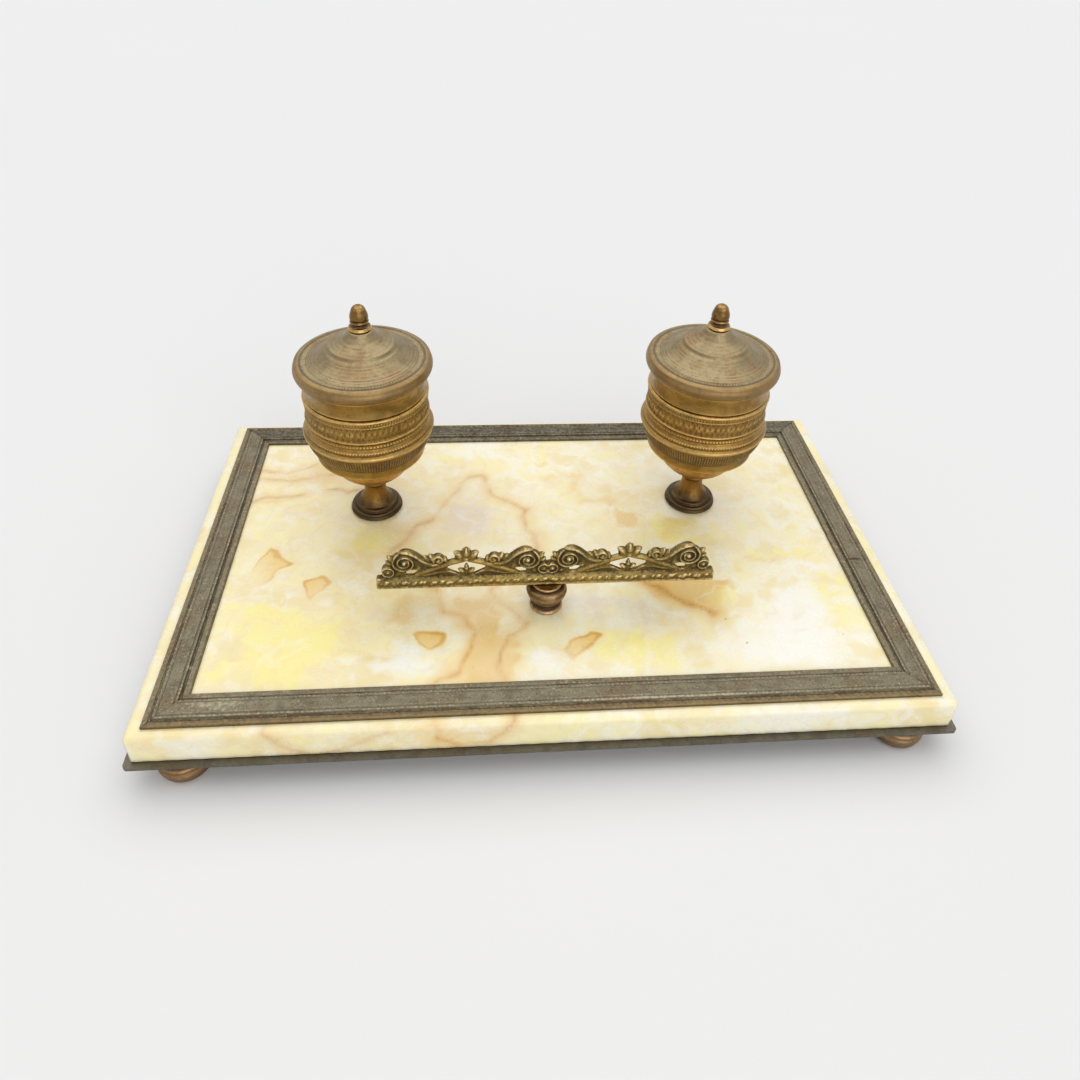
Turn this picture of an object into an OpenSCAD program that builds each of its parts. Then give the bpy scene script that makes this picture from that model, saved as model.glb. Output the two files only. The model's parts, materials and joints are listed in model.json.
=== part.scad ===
// Desk inkstand: an onyx slab on a metal plate and four bun feet, framed by a
// moulded metal border, with two covered ink urns and a pierced pen rest.
// Millimetres, +Z up, origin on the floor under the middle of the slab.

/* [Slab] */
// Length of the onyx slab, left to right
slab_length = 270; // [240:1:330]
// Depth of the onyx slab, front to back
slab_depth = 166; // [145:1:200]
// Thickness of the onyx slab
slab_thickness = 12; // [8:0.5:20]
// Radius of the rounded top edge of the slab
slab_top_round = 2; // [0.5:0.25:2.5]
// Width of the bevel along the lower edge of the slab
slab_bevel = 0.8; // [0.2:0.1:2]

/* [Base plate] */
// How far the plate shows beyond the slab on every side
plate_lip = 1.8; // [1:0.1:6]
// Thickness of the plate
plate_thickness = 1.3; // [1:0.1:4]
// Radius of the plate's corners
plate_corner = 1.5; // [0.5:0.25:3]

/* [Frame] */
// Bare onyx outside the frame at the left and right
frame_margin_side = 5; // [3:0.5:12]
// Bare onyx outside the frame at the front and back
frame_margin_front = 3.5; // [3:0.5:12]
// Width of a frame rail
rail_width = 12.2; // [9:0.1:18]
// Height of the raised band of a rail above the slab
rail_height = 2; // [1.5:0.1:4]
// Width of the fillet along the outer edge of a rail
rail_outer_fillet = 1.8; // [1:0.1:2.5]
// Width of the fillet along the inner edge of a rail
rail_inner_fillet = 1.9; // [1:0.1:2.5]
// Width of the groove on each side of the raised band
rail_groove = 0.7; // [0.3:0.1:1]
// Width of the sloping sides of the grooves and edges
rail_slope = 0.4; // [0.2:0.05:0.5]
// How far the fillets and the grooves lie below the band
rail_step = 0.7; // [0.3:0.05:0.9]

/* [Feet] */
// How far the feet sit in from the left and right edges of the frame
foot_inset_side = 9; // [4:0.1:9]
// How far the feet sit in from the front and back edges of the frame
foot_inset_front = 4.1; // [3.6:0.1:8]
// Largest radius of a bun foot
foot_radius = 9.2; // [8.4:0.1:12]
// Height of a foot from the floor to the plate
foot_height = 10.7; // [8:0.1:16]
// Height of the widest part of a foot
foot_widest = 3.8; // [2:0.1:5]
// Radius of the flat that a foot stands on
foot_pad_radius = 6; // [3:0.25:7]
// Radius of the collar on top of a foot
foot_collar_radius = 7.2; // [6.2:0.1:8]
// Height of that collar
foot_collar_height = 1.7; // [0.8:0.1:2.5]

/* [Fixings] */
// Diameter of the rods that tie frame, slab, plate and feet together
rod_diameter = 4; // [3:0.5:5]
// How deep a rod goes into its foot
rod_grip = 5.5; // [3:0.5:6]
// Diameter of the long screw through each urn
screw_diameter = 4; // [3:0.5:5]
// Diameter of that screw's head
screw_head = 8; // [6:0.5:9]
// Height of that screw's head
screw_head_height = 2.4; // [1.5:0.1:4]
// Diameter of the stud under the pen rest
stud_diameter = 3; // [2:0.5:3.5]
// How deep the stud goes into the gallery's foot rail
stud_grip = 2.8; // [1.5:0.1:3.2]
// Gap round a rod, screw or stud in a plain hole
fixing_gap = 0.2; // [0.1:0.05:0.4]
// Gap round a thread in its nut or foot
thread_gap = 0.05; // [0.02:0.01:0.1]
// Rim of a washer outside its hole
washer_rim = 3.6; // [2:0.1:5]
// Thickness of a washer
washer_thickness = 0.8; // [0.5:0.1:1.5]
// Wall of a nut outside its thread, at the flats
nut_wall = 1.5; // [1:0.1:2]
// Height of a nut
nut_height = 2.6; // [1.5:0.1:3.5]
// How far a thread stands out of its nut
thread_end = 0.6; // [0.2:0.1:1]

/* [Urns] */
// Distance between the axes of the two urns
urn_spacing = 132; // [90:1:170]
// How far the urns stand behind the middle of the slab
urn_back = 24.5; // [10:0.5:30]
// Radius of the round foot of an urn
urn_foot_radius = 10.4; // [8:0.1:14]
// Height of the rounded edge of that foot
urn_foot_edge = 3.2; // [2:0.1:5]
// Radius of the waist above the foot
urn_waist_radius = 4.3; // [4:0.1:6]
// Height of the waist above the slab
urn_waist_height = 13; // [10:0.5:16]
// Height of the urn's foot, up to the bowl
urn_foot_height = 17; // [16.5:0.5:22]
// Radius of the seat between foot and bowl
urn_seat_radius = 6.2; // [5:0.1:8]
// Height of the lower bowl, up to its ring
bowl_height = 10.5; // [8:0.5:14]
// Radius of the lower bowl at its ring
bowl_radius = 16.9; // [14:0.1:18]
// Height of the ring round the lower bowl
bowl_ring = 1.3; // [0.8:0.1:2]
// How far the milled bulge stands out of the wall
bulge_proud = 1.4; // [0.8:0.1:4]
// Height from the lower ring to the widest part of the bulge
bulge_rise = 13; // [10:0.5:16]
// Height from the widest part of the bulge to the band above it
bulge_top = 4; // [3:0.25:6]
// Height of the raised band above the bulge
band_height = 2; // [1:0.25:3]
// How far the raised bands stand out of the wall
band_proud = 0.6; // [0.2:0.1:1]
// Height of the ornamented frieze
frieze_height = 9; // [6:0.5:12]
// Height of the bead above the frieze
bead_height = 1.5; // [1:0.25:2.5]
// Height of the plain wall above the bead
wall_height = 8; // [6.5:0.5:14]
// Outer radius of the cup's wall
wall_radius = 23.2; // [22:0.1:26]
// Thickness of the cup's wall at the rim
cup_wall = 2; // [1.5:0.1:3]
// Thickness of the cup's floor
cup_floor = 4; // [3:0.25:6]

/* [Ink liners] */
// Depth of the ledge in the cup below its rim
ledge_depth = 6; // [5.5:0.25:7]
// Width of the ledge that carries the liner
ledge_width = 1.7; // [1.2:0.1:2.5]
// Depth of a liner below its flange
liner_depth = 24; // [18:0.5:26]
// Thickness of a liner's wall
liner_wall = 1.8; // [1.2:0.1:3]
// Thickness of a liner's flange
flange_thickness = 1.6; // [1:0.1:2]
// Radius of the rounded bottom edge of a liner
liner_round = 3; // [2:0.25:5]
// Gap between a liner and its cup
liner_gap = 0.5; // [0.3:0.05:0.8]

/* [Lids] */
// How far the rolled rim of a lid overhangs the cup's wall
lid_overhang = 2.4; // [1.5:0.1:4]
// How far the rim's lower edge stands out of the cup's wall
lid_edge = 0.8; // [0.2:0.1:1.4]
// Height of the rolled rim
lid_rim_height = 6; // [4:0.25:8]
// Width of the rolled rim seen from above
lid_rim_width = 2.2; // [1.5:0.1:3]
// Depth of the groove inside the rim
lid_groove = 0.6; // [0.2:0.1:1]
// Rise of the turned slope from the groove to the raised disc
lid_slope_rise = 5.2; // [3:0.25:9]
// Radius of the raised disc
disc_radius = 12.1; // [9:0.1:15]
// Height of the raised disc's rounded edge
disc_height = 1.5; // [0.8:0.1:2.5]
// Rise of the hollow cone from the disc to the finial
cone_rise = 5.2; // [3:0.25:8]
// Thickness of the lid's shell
lid_wall = 1.8; // [1.2:0.1:2.5]
// Depth of the spigot that centres the lid in the cup
spigot_depth = 3.4; // [2:0.1:3.5]
// Wall of that spigot
spigot_wall = 1.3; // [1:0.1:2]
// Gap between the spigot and the cup
spigot_gap = 0.4; // [0.25:0.05:0.6]

/* [Finials] */
// Radius of the finial's foot
finial_foot_radius = 4.2; // [3.6:0.1:5]
// Radius of the finial's waist
finial_waist_radius = 3; // [2:0.1:3.4]
// Radius of the bullet-shaped knob
finial_radius = 3.4; // [2.8:0.1:4.5]
// Height of the finial above the lid
finial_height = 9.6; // [7:0.1:14]
// Diameter of the finial's threaded stem
finial_stem = 3; // [2:0.5:3.5]

/* [Pen rest] */
// How far the pen rest stands in front of the middle of the slab
pen_rest_front = 32.7; // [24:0.5:45]
// Radius of the foot of the turned stem
stem_foot_radius = 5.9; // [5.2:0.1:8]
// Radius of the stem's neck
stem_neck_radius = 4.6; // [3.5:0.1:5]
// Radius of the stem's ball
stem_ball_radius = 7.35; // [6:0.05:9]
// Height of the middle of the ball
stem_ball_height = 8; // [6.5:0.1:9]
// Radius of the collar under the gallery
stem_collar_radius = 5.2; // [4:0.1:6]
// Height of the stem
stem_height = 12; // [11:0.25:16]
// Length of one repeat of the scroll pattern
scroll_repeat = 57.5; // [54:0.5:70]
// Number of repeats along the gallery
scroll_repeats = 2; // [1:1:3]
// Thickness of the pierced gallery
gallery_thickness = 2.4; // [1.5:0.1:4]
// Depth of the moulded foot rail, front to back
foot_rail_depth = 5; // [4:0.1:8]
// Height of the moulded foot rail
foot_rail_height = 4.2; // [3.5:0.1:6]
// How far the foot rail runs past the pattern at each end
foot_rail_end = 3; // [1:0.25:5]
// Distance of a large scroll from the ends of a repeat
scroll_inset = 7.4; // [6.5:0.1:9]
// Height of the eye of a large scroll above the foot rail
scroll_rise = 7; // [5:0.1:9]
// Outer radius of a large scroll
scroll_radius = 4.9; // [4:0.1:5.5]
// Distance of a small curl from the middle of a repeat
curl_offset = 9.4; // [8:0.1:12]
// Height of the eye of a small curl above the foot rail
curl_rise = 8.2; // [6:0.1:10]
// Outer radius of a small curl
curl_radius = 2.4; // [1.5:0.1:3]
// Distance of the leaf beside the curl from the middle of a repeat
leaf_offset = 13.3; // [12:0.1:15]
// Radius of that leaf
leaf_radius = 1.7; // [1:0.1:2.5]
// Height of the middle of the trefoil above the foot rail
trefoil_rise = 11.2; // [9:0.1:13]
// Radius of the trefoil's top leaf
trefoil_radius = 2.2; // [1.5:0.1:3]
// Radius of the trefoil's side leaves
trefoil_side_radius = 1.7; // [1:0.1:2.5]
// Height of the slanting bars
bar_height = 3.3; // [2.5:0.1:4]
// Half width of the opening under a trefoil
window_half = 6; // [5:0.1:7]
// Radius of the round bosses at the ends of a repeat
boss_radius = 2.7; // [2:0.1:3.5]
// Height of those bosses above the foot rail
boss_rise = 2.9; // [2:0.1:4]
// Half width of the pen notch between two repeats
notch_half = 2.5; // [2.2:0.1:3]

/* [Hidden] */
$fn = 64;

// Small turned steps and the steps used along a curved stretch
step = 0.7;
curve_steps = 6;
overlap = 0.01;

// Heights of the stacked slab, measured from the floor
plate_z = foot_height;
slab_z = plate_z + plate_thickness;
top_z = slab_z + slab_thickness;

// Outline of the frame, and the places of rods and feet under its corners
frame_length = slab_length - 2 * frame_margin_side;
frame_depth = slab_depth - 2 * frame_margin_front;
inset_limit = rail_width - rod_diameter / 2 - step;
corner_x = frame_length / 2 - min(foot_inset_side, inset_limit);
corner_y = frame_depth / 2 - min(foot_inset_front, inset_limit);

// Heights inside an urn, measured from the top of the slab
ring_z = urn_foot_height + bowl_height;
bulge_low_z = ring_z + bowl_ring;
bulge_z = bulge_low_z + bulge_rise;
band_z = bulge_z + bulge_top;
frieze_z = band_z + band_height;
bead_z = frieze_z + frieze_height;
wall_z = bead_z + bead_height;
rim_z = wall_z + wall_height;
ledge_z = rim_z - ledge_depth;
floor_z = urn_foot_height + cup_floor;

// Radii inside an urn
band_radius = wall_radius + band_proud;
bulge_radius = wall_radius + bulge_proud;
bore_radius = wall_radius - cup_wall;
ledge_radius = bore_radius - ledge_width;
flange_radius = bore_radius - liner_gap;
liner_radius = ledge_radius - liner_gap;
spigot_radius = bore_radius - spigot_gap;

// Heights of a lid, measured from the top of the slab
slope_z = rim_z + lid_rim_height - lid_groove;
disc_z = slope_z + lid_slope_rise;
cone_z = disc_z + disc_height;
crown_z = cone_z + cone_rise;

// Points from a towards b, bowed to the right of the way by the third value of a
function bowed(a, b) =
    let (way = [b.x - a.x, b.y - a.y], side = [way.y, -way.x] / norm(way))
    let (n = a.z == 0 ? 1 : curve_steps)
    [for (i = [0 : n - 1]) let (t = i / n) [a.x, a.y] + way * t + side * 4 * a.z * t * (1 - t)];

// Closed outline through stations [radius, height, bow towards the next station]
function outline(stations) =
    let (n = len(stations))
    [for (k = [0 : n - 1]) each bowed(stations[k], stations[(k + 1) % n])];

// Turned solid from a closed list of stations
module turned(stations) {
    rotate_extrude($fn = 96) polygon(outline(stations));
}

// Quarter circle of points, centred on c
function quarter(c, r, from) =
    [for (i = [0 : curve_steps]) let (a = from + 90 * i / curve_steps) c + r * [cos(a), sin(a)]];

// Upright section of the slab, rounded above and bevelled below
module slab_section(width) {
    h = width / 2;
    inset = h - slab_top_round;
    shoulder = slab_thickness - slab_top_round;
    polygon(concat(
        [[-h + slab_bevel, 0], [h - slab_bevel, 0], [h, slab_bevel]],
        quarter([inset, shoulder], slab_top_round, 0),
        quarter([-inset, shoulder], slab_top_round, 90),
        [[-h, slab_bevel]]));
}

// Copies of the children at the four corners of the frame
module at_corners() {
    for (x = [-1, 1], y = [-1, 1]) translate([x * corner_x, y * corner_y, 0]) children();
}

// Children on the axis of an urn, on top of the slab
module at_urn(side) {
    translate([side * urn_spacing / 2, urn_back, top_z]) children();
}

// Children on the axis of the pen rest, on top of the slab
module at_pen_rest() {
    translate([0, -pen_rest_front, top_z]) children();
}

// Round holes through slab and plate for rods, screws and stud
module fixing_holes(low, height) {
    translate([0, 0, low - overlap]) {
        at_corners() cylinder(h = height + 2 * overlap, d = rod_diameter + 2 * fixing_gap);
        for (side = [-1, 1]) translate([side * urn_spacing / 2, urn_back, 0])
            cylinder(h = height + 2 * overlap, d = screw_diameter + 2 * fixing_gap);
        translate([0, -pen_rest_front, 0])
            cylinder(h = height + 2 * overlap, d = stud_diameter + 2 * fixing_gap);
    }
}

module onyx_slab() {
    color("wheat") difference() {
        translate([0, 0, slab_z]) intersection() {
            rotate([90, 0, 0]) linear_extrude(slab_depth, center = true) slab_section(slab_length);
            rotate([90, 0, 90]) linear_extrude(slab_length, center = true) slab_section(slab_depth);
        }
        fixing_holes(slab_z, slab_thickness);
    }
}

module base_plate() {
    length = slab_length + 2 * plate_lip;
    depth = slab_depth + 2 * plate_lip;
    color("darkslategray") difference() {
        translate([0, 0, plate_z]) linear_extrude(plate_thickness) union() {
            square([length - 2 * plate_corner, depth], center = true);
            square([length, depth - 2 * plate_corner], center = true);
            for (x = [-1, 1], y = [-1, 1])
                translate([x * (length / 2 - plate_corner), y * (depth / 2 - plate_corner)])
                    circle(plate_corner);
        }
        fixing_holes(plate_z, plate_thickness);
    }
}

// Section of a rail: outer fillet, groove, flat band, groove, inner fillet
module rail_section() {
    low = rail_height - rail_step;
    edge = low - rail_slope;
    groove = low - rail_slope;
    inner_groove = rail_width - rail_inner_fillet - rail_slope;
    outer_groove = rail_outer_fillet + rail_slope;
    band_start = outer_groove + rail_groove + rail_slope;
    band_end = inner_groove - rail_groove - rail_slope;
    polygon([
        [0, 0], [0, edge], [rail_slope, low], [rail_outer_fillet, low],
        [outer_groove, groove], [outer_groove + rail_groove, groove],
        [band_start, rail_height], [band_end, rail_height],
        [inner_groove - rail_groove, groove], [inner_groove, groove],
        [rail_width - rail_inner_fillet, low], [rail_width - rail_slope, low],
        [rail_width, edge], [rail_width, 0]]);
}

// One mitred rail along X whose outer edge lies on y = 0
module frame_rail(length) {
    half = length / 2;
    color("darkolivegreen") intersection() {
        rotate([90, 0, 90]) linear_extrude(length, center = true) rail_section();
        linear_extrude(2 * rail_height)
            polygon([[-half, 0], [half, 0],
                [half - rail_width, rail_width], [rail_width - half, rail_width]]);
    }
}

module frame_rail_long(side) {
    rotate(side < 0 ? 0 : 180) translate([0, -frame_depth / 2, top_z]) frame_rail(frame_length);
}

module frame_rail_short(side) {
    rotate(side * 90) translate([0, -frame_length / 2, top_z]) frame_rail(frame_depth);
}

module tie_rods() {
    color("goldenrod") at_corners() translate([0, 0, plate_z - rod_grip])
        cylinder(h = rod_grip + top_z - plate_z, d = rod_diameter);
}

// Bun foot with a flat pad below and a collar under the plate
module bun_foot(x, y) {
    hole = rod_diameter / 2 + thread_gap;
    collar_z = foot_height - foot_collar_height;
    color("peru") translate([x * corner_x, y * corner_y, 0]) turned([
        [0, 0, 0], [foot_pad_radius, 0, 0.8], [foot_radius, foot_widest, 0.9],
        [foot_collar_radius, collar_z, 0], [foot_collar_radius, foot_height, 0],
        [hole, foot_height, 0], [hole, foot_height - rod_grip, 0], [0, foot_height - rod_grip, 0]]);
}

// Foot of an urn: rounded edge, ring, hollow flare and waist
module urn_foot(side) {
    hole = screw_diameter / 2 + fixing_gap;
    color("saddlebrown") at_urn(side) turned([
        [hole, 0, 0], [urn_foot_radius - step, 0, 0.8], [urn_foot_radius - step, urn_foot_edge, 0],
        [urn_foot_radius - 3 * step, urn_foot_edge, 0.3],
        [urn_foot_radius - 4 * step, urn_foot_edge + 2 * step, -1.1],
        [urn_waist_radius, urn_waist_height, -0.3],
        [urn_seat_radius - step, urn_foot_height - step, 0],
        [urn_seat_radius, urn_foot_height, 0], [hole, urn_foot_height, 0]]);
}

// Cup of an urn, open above, with a ledge for the liner and a hole for the screw
module urn_cup(side) {
    hole = screw_diameter / 2 + fixing_gap;
    hollow_radius = bowl_radius - step - cup_wall;
    color("darkgoldenrod") at_urn(side) turned([
        [hole, urn_foot_height, 0], [urn_seat_radius, urn_foot_height, 1.9],
        [bowl_radius, ring_z, 0], [bowl_radius, bulge_low_z, 0],
        [bowl_radius - step, bulge_low_z, 1.8], [bulge_radius, bulge_z, 0.5],
        [band_radius - step, band_z, 0], [band_radius, band_z, 0], [band_radius, frieze_z, 0],
        [wall_radius, frieze_z, 0], [wall_radius, bead_z, 0.4], [wall_radius, wall_z, 0],
        [wall_radius, rim_z, 0], [bore_radius, rim_z, 0], [bore_radius, ledge_z, 0],
        [ledge_radius, ledge_z, 0], [ledge_radius, ledge_z - liner_depth, 0],
        [hollow_radius, bulge_low_z, -1.6],
        [screw_head / 2 + 2 * step, floor_z, 0], [hole, floor_z, 0]]);
}

// Cheese head inside the cup and a long shank down through slab and plate
module urn_screw(side) {
    reach = washer_thickness + nut_height + thread_end;
    low = plate_z - top_z - reach;
    color("gold") at_urn(side) {
        translate([0, 0, floor_z]) cylinder(h = screw_head_height, d = screw_head);
        translate([0, 0, low]) cylinder(h = floor_z + screw_head_height / 2 - low, d = screw_diameter);
    }
}

// Flat washer hanging under the plate
module washer(diameter) {
    hole = diameter / 2 + fixing_gap;
    translate([0, 0, plate_z - washer_thickness]) difference() {
        cylinder(h = washer_thickness, r = hole + washer_rim);
        translate([0, 0, -overlap]) cylinder(h = washer_thickness + 2 * overlap, r = hole);
    }
}

// Six-sided nut with its top face at the given height
module hex_nut(diameter, z) {
    flats = diameter + 2 * nut_wall;
    translate([0, 0, z - nut_height]) difference() {
        cylinder(h = nut_height, d = flats / cos(30), $fn = 6);
        translate([0, 0, -overlap])
            cylinder(h = nut_height + 2 * overlap, r = diameter / 2 + thread_gap);
    }
}

module urn_washer(side) {
    color("goldenrod") translate([side * urn_spacing / 2, urn_back, 0]) washer(screw_diameter);
}

module urn_nut(side) {
    color("goldenrod") translate([side * urn_spacing / 2, urn_back, 0])
        hex_nut(screw_diameter, plate_z - washer_thickness);
}

// Pot for the ink: rounded bottom, straight wall and a flange on the ledge
module ink_liner(side) {
    low = ledge_z - liner_depth;
    inner = liner_radius - liner_wall;
    inner_round = liner_round - liner_wall / 2;
    flange_z = ledge_z + flange_thickness;
    color("white") at_urn(side) turned([
        [0, low, 0], [liner_radius - liner_round, low, 0.29 * liner_round],
        [liner_radius, low + liner_round, 0], [liner_radius, ledge_z, 0],
        [flange_radius, ledge_z, 0], [flange_radius, flange_z, 0], [inner + step, flange_z, 0.2],
        [inner, flange_z - step, 0], [inner, low + liner_wall + inner_round, -0.29 * inner_round],
        [inner - inner_round, low + liner_wall, 0], [0, low + liner_wall, 0]]);
}

// Lid: spigot, rolled rim, turned slope, raised disc and hollow cone, open below
module lid(side) {
    hole = finial_stem / 2 + fixing_gap;
    inner = spigot_radius - spigot_wall;
    lid_radius = wall_radius + lid_overhang;
    rim_top_radius = lid_radius - step;
    slope_radius = lid_radius - lid_rim_width - step;
    land = finial_stem / 2 + nut_wall + 2 * step;
    color("darkkhaki") at_urn(side) turned([
        [inner, rim_z - spigot_depth, 0], [spigot_radius, rim_z - spigot_depth, 0],
        [spigot_radius, rim_z, 0], [wall_radius + lid_edge, rim_z, 0.3],
        [lid_radius, rim_z + lid_rim_height / 2, 0.3],
        [rim_top_radius, rim_z + lid_rim_height - step / 2, 0.25],
        [slope_radius + step, rim_z + lid_rim_height - step / 2, 0],
        [slope_radius, slope_z, 0],
        [disc_radius, disc_z, 0.4], [disc_radius - step, cone_z, -0.9],
        [finial_foot_radius, crown_z, 0], [hole, crown_z, 0],
        [hole, crown_z - lid_wall, 0], [land, crown_z - lid_wall, 0.5],
        [disc_radius - step, cone_z - lid_wall, 0], [inner, slope_z - lid_wall, 0]]);
}

// Finial: round foot, waist and bullet-shaped knob, with its threaded stem
module finial(side) {
    low = crown_z - lid_wall - nut_height - thread_end;
    waist_z = crown_z + 0.25 * finial_height;
    shoulder_z = crown_z + 0.4 * finial_height;
    brow_z = crown_z + 0.75 * finial_height;
    color("gold") at_urn(side) union() {
        turned([
            [0, crown_z, 0], [finial_foot_radius, crown_z, 0.4],
            [finial_foot_radius - step, crown_z + 2 * step, -0.3], [finial_waist_radius, waist_z, 0],
            [finial_radius, shoulder_z, 0.2], [finial_radius - step, brow_z, 0.7],
            [0, crown_z + finial_height, 0]]);
        translate([0, 0, low]) cylinder(h = crown_z - low + overlap, d = finial_stem);
    }
}

module finial_nut(side) {
    color("goldenrod") at_urn(side) hex_nut(finial_stem, crown_z - lid_wall);
}

// Turned stem of the pen rest: foot, neck, ball and collar
module pen_rest_stem() {
    hole = stud_diameter / 2 + fixing_gap;
    neck_z = 4.5 * step;
    collar_z = stem_height - 1.5 * step;
    color("sienna") at_pen_rest() turned([
        [hole, 0, 0], [stem_foot_radius - step / 2, 0, 0.4],
        [stem_foot_radius - step / 2, 2 * step, 0], [stem_neck_radius, neck_z, 0],
        [stem_neck_radius, neck_z + step, 0.8], [stem_ball_radius, stem_ball_height, 0.8],
        [stem_collar_radius, collar_z - step, 0],
        [stem_collar_radius, stem_height, 0], [hole, stem_height, 0]]);
}

// Half of one repeat of the scrollwork, drawn to the right of its middle
module scroll_half() {
    end = scroll_repeat / 2;
    scroll = [end - scroll_inset, scroll_rise];
    curl = [curl_offset, curl_rise];
    leaf = [leaf_offset, curl_rise + step / 2];
    crest = scroll_rise + scroll_radius;
    boss = [end - notch_half / 2, boss_rise];
    notch = [end - notch_half * 0.6, boss_rise + boss_radius];
    tip = [end - notch_half, crest - 3 * step];
    side_leaf = [trefoil_radius + step / 2, trefoil_rise - 2 * step];
    bar_top = trefoil_rise - trefoil_radius;
    bar_low = bar_top - 3 * step;
    difference() {
        union() {
            // Field behind the scrolls
            polygon([[0, -overlap], [end, -overlap], [end, notch.y], notch, tip,
                [scroll.x, crest - 1.5 * step], [leaf.x + leaf_radius, leaf.y], curl,
                [curl.x - curl_radius / 2, bar_low], [side_leaf.x + step, bar_top - step],
                side_leaf, [0, trefoil_rise]]);
            // Crest running down from the large scroll to the leaf
            polygon([[scroll.x, crest], [scroll.x, scroll_rise], [leaf.x, scroll_rise], leaf,
                [leaf.x + leaf_radius, leaf.y + leaf_radius / 2]]);
            translate(scroll) circle(scroll_radius);
            translate(curl) circle(curl_radius);
            translate(leaf) circle(leaf_radius);
            translate(boss) circle(boss_radius);
            // Trefoil
            translate([0, trefoil_rise]) circle(trefoil_radius);
            translate(side_leaf) circle(trefoil_side_radius);
        }
        // Three-cornered piercing under the large scroll
        polygon([[scroll.x - 0.9 * scroll_radius, 1.5 * step],
            [scroll.x - 0.15 * scroll_radius, 1.5 * step],
            scroll - 0.75 * scroll_radius * [1, 1]]);
        // Half of the window under the trefoil, with half of its leaf left standing
        difference() {
            polygon([[0, step], [window_half - step, step], [window_half, 3 * step],
                [0, bar_top - bar_height]]);
            translate([0, -overlap]) square([step, bar_top]);
            translate([2 * step, 3.5 * step]) circle(1.3 * step);
        }
    }
}

// One whole repeat, its middle on x = 0 and its foot on y = 0
module scroll_pattern() {
    scroll_half();
    mirror([1, 0]) scroll_half();
}

// Section of the moulded foot rail, front to back
module foot_rail_section() {
    half = foot_rail_depth / 2;
    neck = gallery_thickness / 2;
    polygon([[-half, 0], [half, 0], [half, 1.5 * step], [half - step, 2.5 * step],
        [half - step / 2, foot_rail_height - 1.5 * step], [neck, foot_rail_height],
        [-neck, foot_rail_height], [step / 2 - half, foot_rail_height - 1.5 * step],
        [step - half, 2.5 * step], [-half, 1.5 * step]]);
}

module pen_rest_gallery() {
    pattern = scroll_repeats * scroll_repeat;
    color("dimgray") at_pen_rest() translate([0, 0, stem_height]) difference() {
        union() {
            rotate([90, 0, 90]) linear_extrude(pattern + 2 * foot_rail_end, center = true)
                foot_rail_section();
            rotate([90, 0, 0]) linear_extrude(gallery_thickness, center = true)
                for (i = [1 : scroll_repeats])
                    translate([(i - (scroll_repeats + 1) / 2) * scroll_repeat, foot_rail_height])
                        scroll_pattern();
        }
        translate([0, 0, -overlap]) cylinder(h = stud_grip + overlap, r = stud_diameter / 2 + thread_gap);
    }
}

module pen_rest_stud() {
    reach = washer_thickness + nut_height + thread_end;
    low = plate_z - reach;
    color("goldenrod") translate([0, -pen_rest_front, low])
        cylinder(h = top_z + stem_height + stud_grip - low, d = stud_diameter);
}

module pen_rest_washer() {
    color("goldenrod") translate([0, -pen_rest_front, 0]) washer(stud_diameter);
}

module pen_rest_nut() {
    color("goldenrod") translate([0, -pen_rest_front, 0])
        hex_nut(stud_diameter, plate_z - washer_thickness);
}

onyx_slab();
base_plate();
frame_rail_long(-1);  // frame_rail_front
frame_rail_long(1);  // frame_rail_back
frame_rail_short(-1);  // frame_rail_left
frame_rail_short(1);  // frame_rail_right
tie_rods();
bun_foot(-1, -1);  // foot_front_left
bun_foot(1, -1);  // foot_front_right
bun_foot(-1, 1);  // foot_back_left
bun_foot(1, 1);  // foot_back_right
urn_foot(-1);  // left_urn_foot
urn_cup(-1);  // left_urn_cup
urn_screw(-1);  // left_urn_screw
urn_washer(-1);  // left_urn_washer
urn_nut(-1);  // left_urn_nut
ink_liner(-1);  // left_ink_liner
lid(-1);  // left_lid
finial(-1);  // left_finial
finial_nut(-1);  // left_finial_nut
urn_foot(1);  // right_urn_foot
urn_cup(1);  // right_urn_cup
urn_screw(1);  // right_urn_screw
urn_washer(1);  // right_urn_washer
urn_nut(1);  // right_urn_nut
ink_liner(1);  // right_ink_liner
lid(1);  // right_lid
finial(1);  // right_finial
finial_nut(1);  // right_finial_nut
pen_rest_stem();
pen_rest_gallery();
pen_rest_stud();
pen_rest_washer();
pen_rest_nut();
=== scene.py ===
import json
import math

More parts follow.
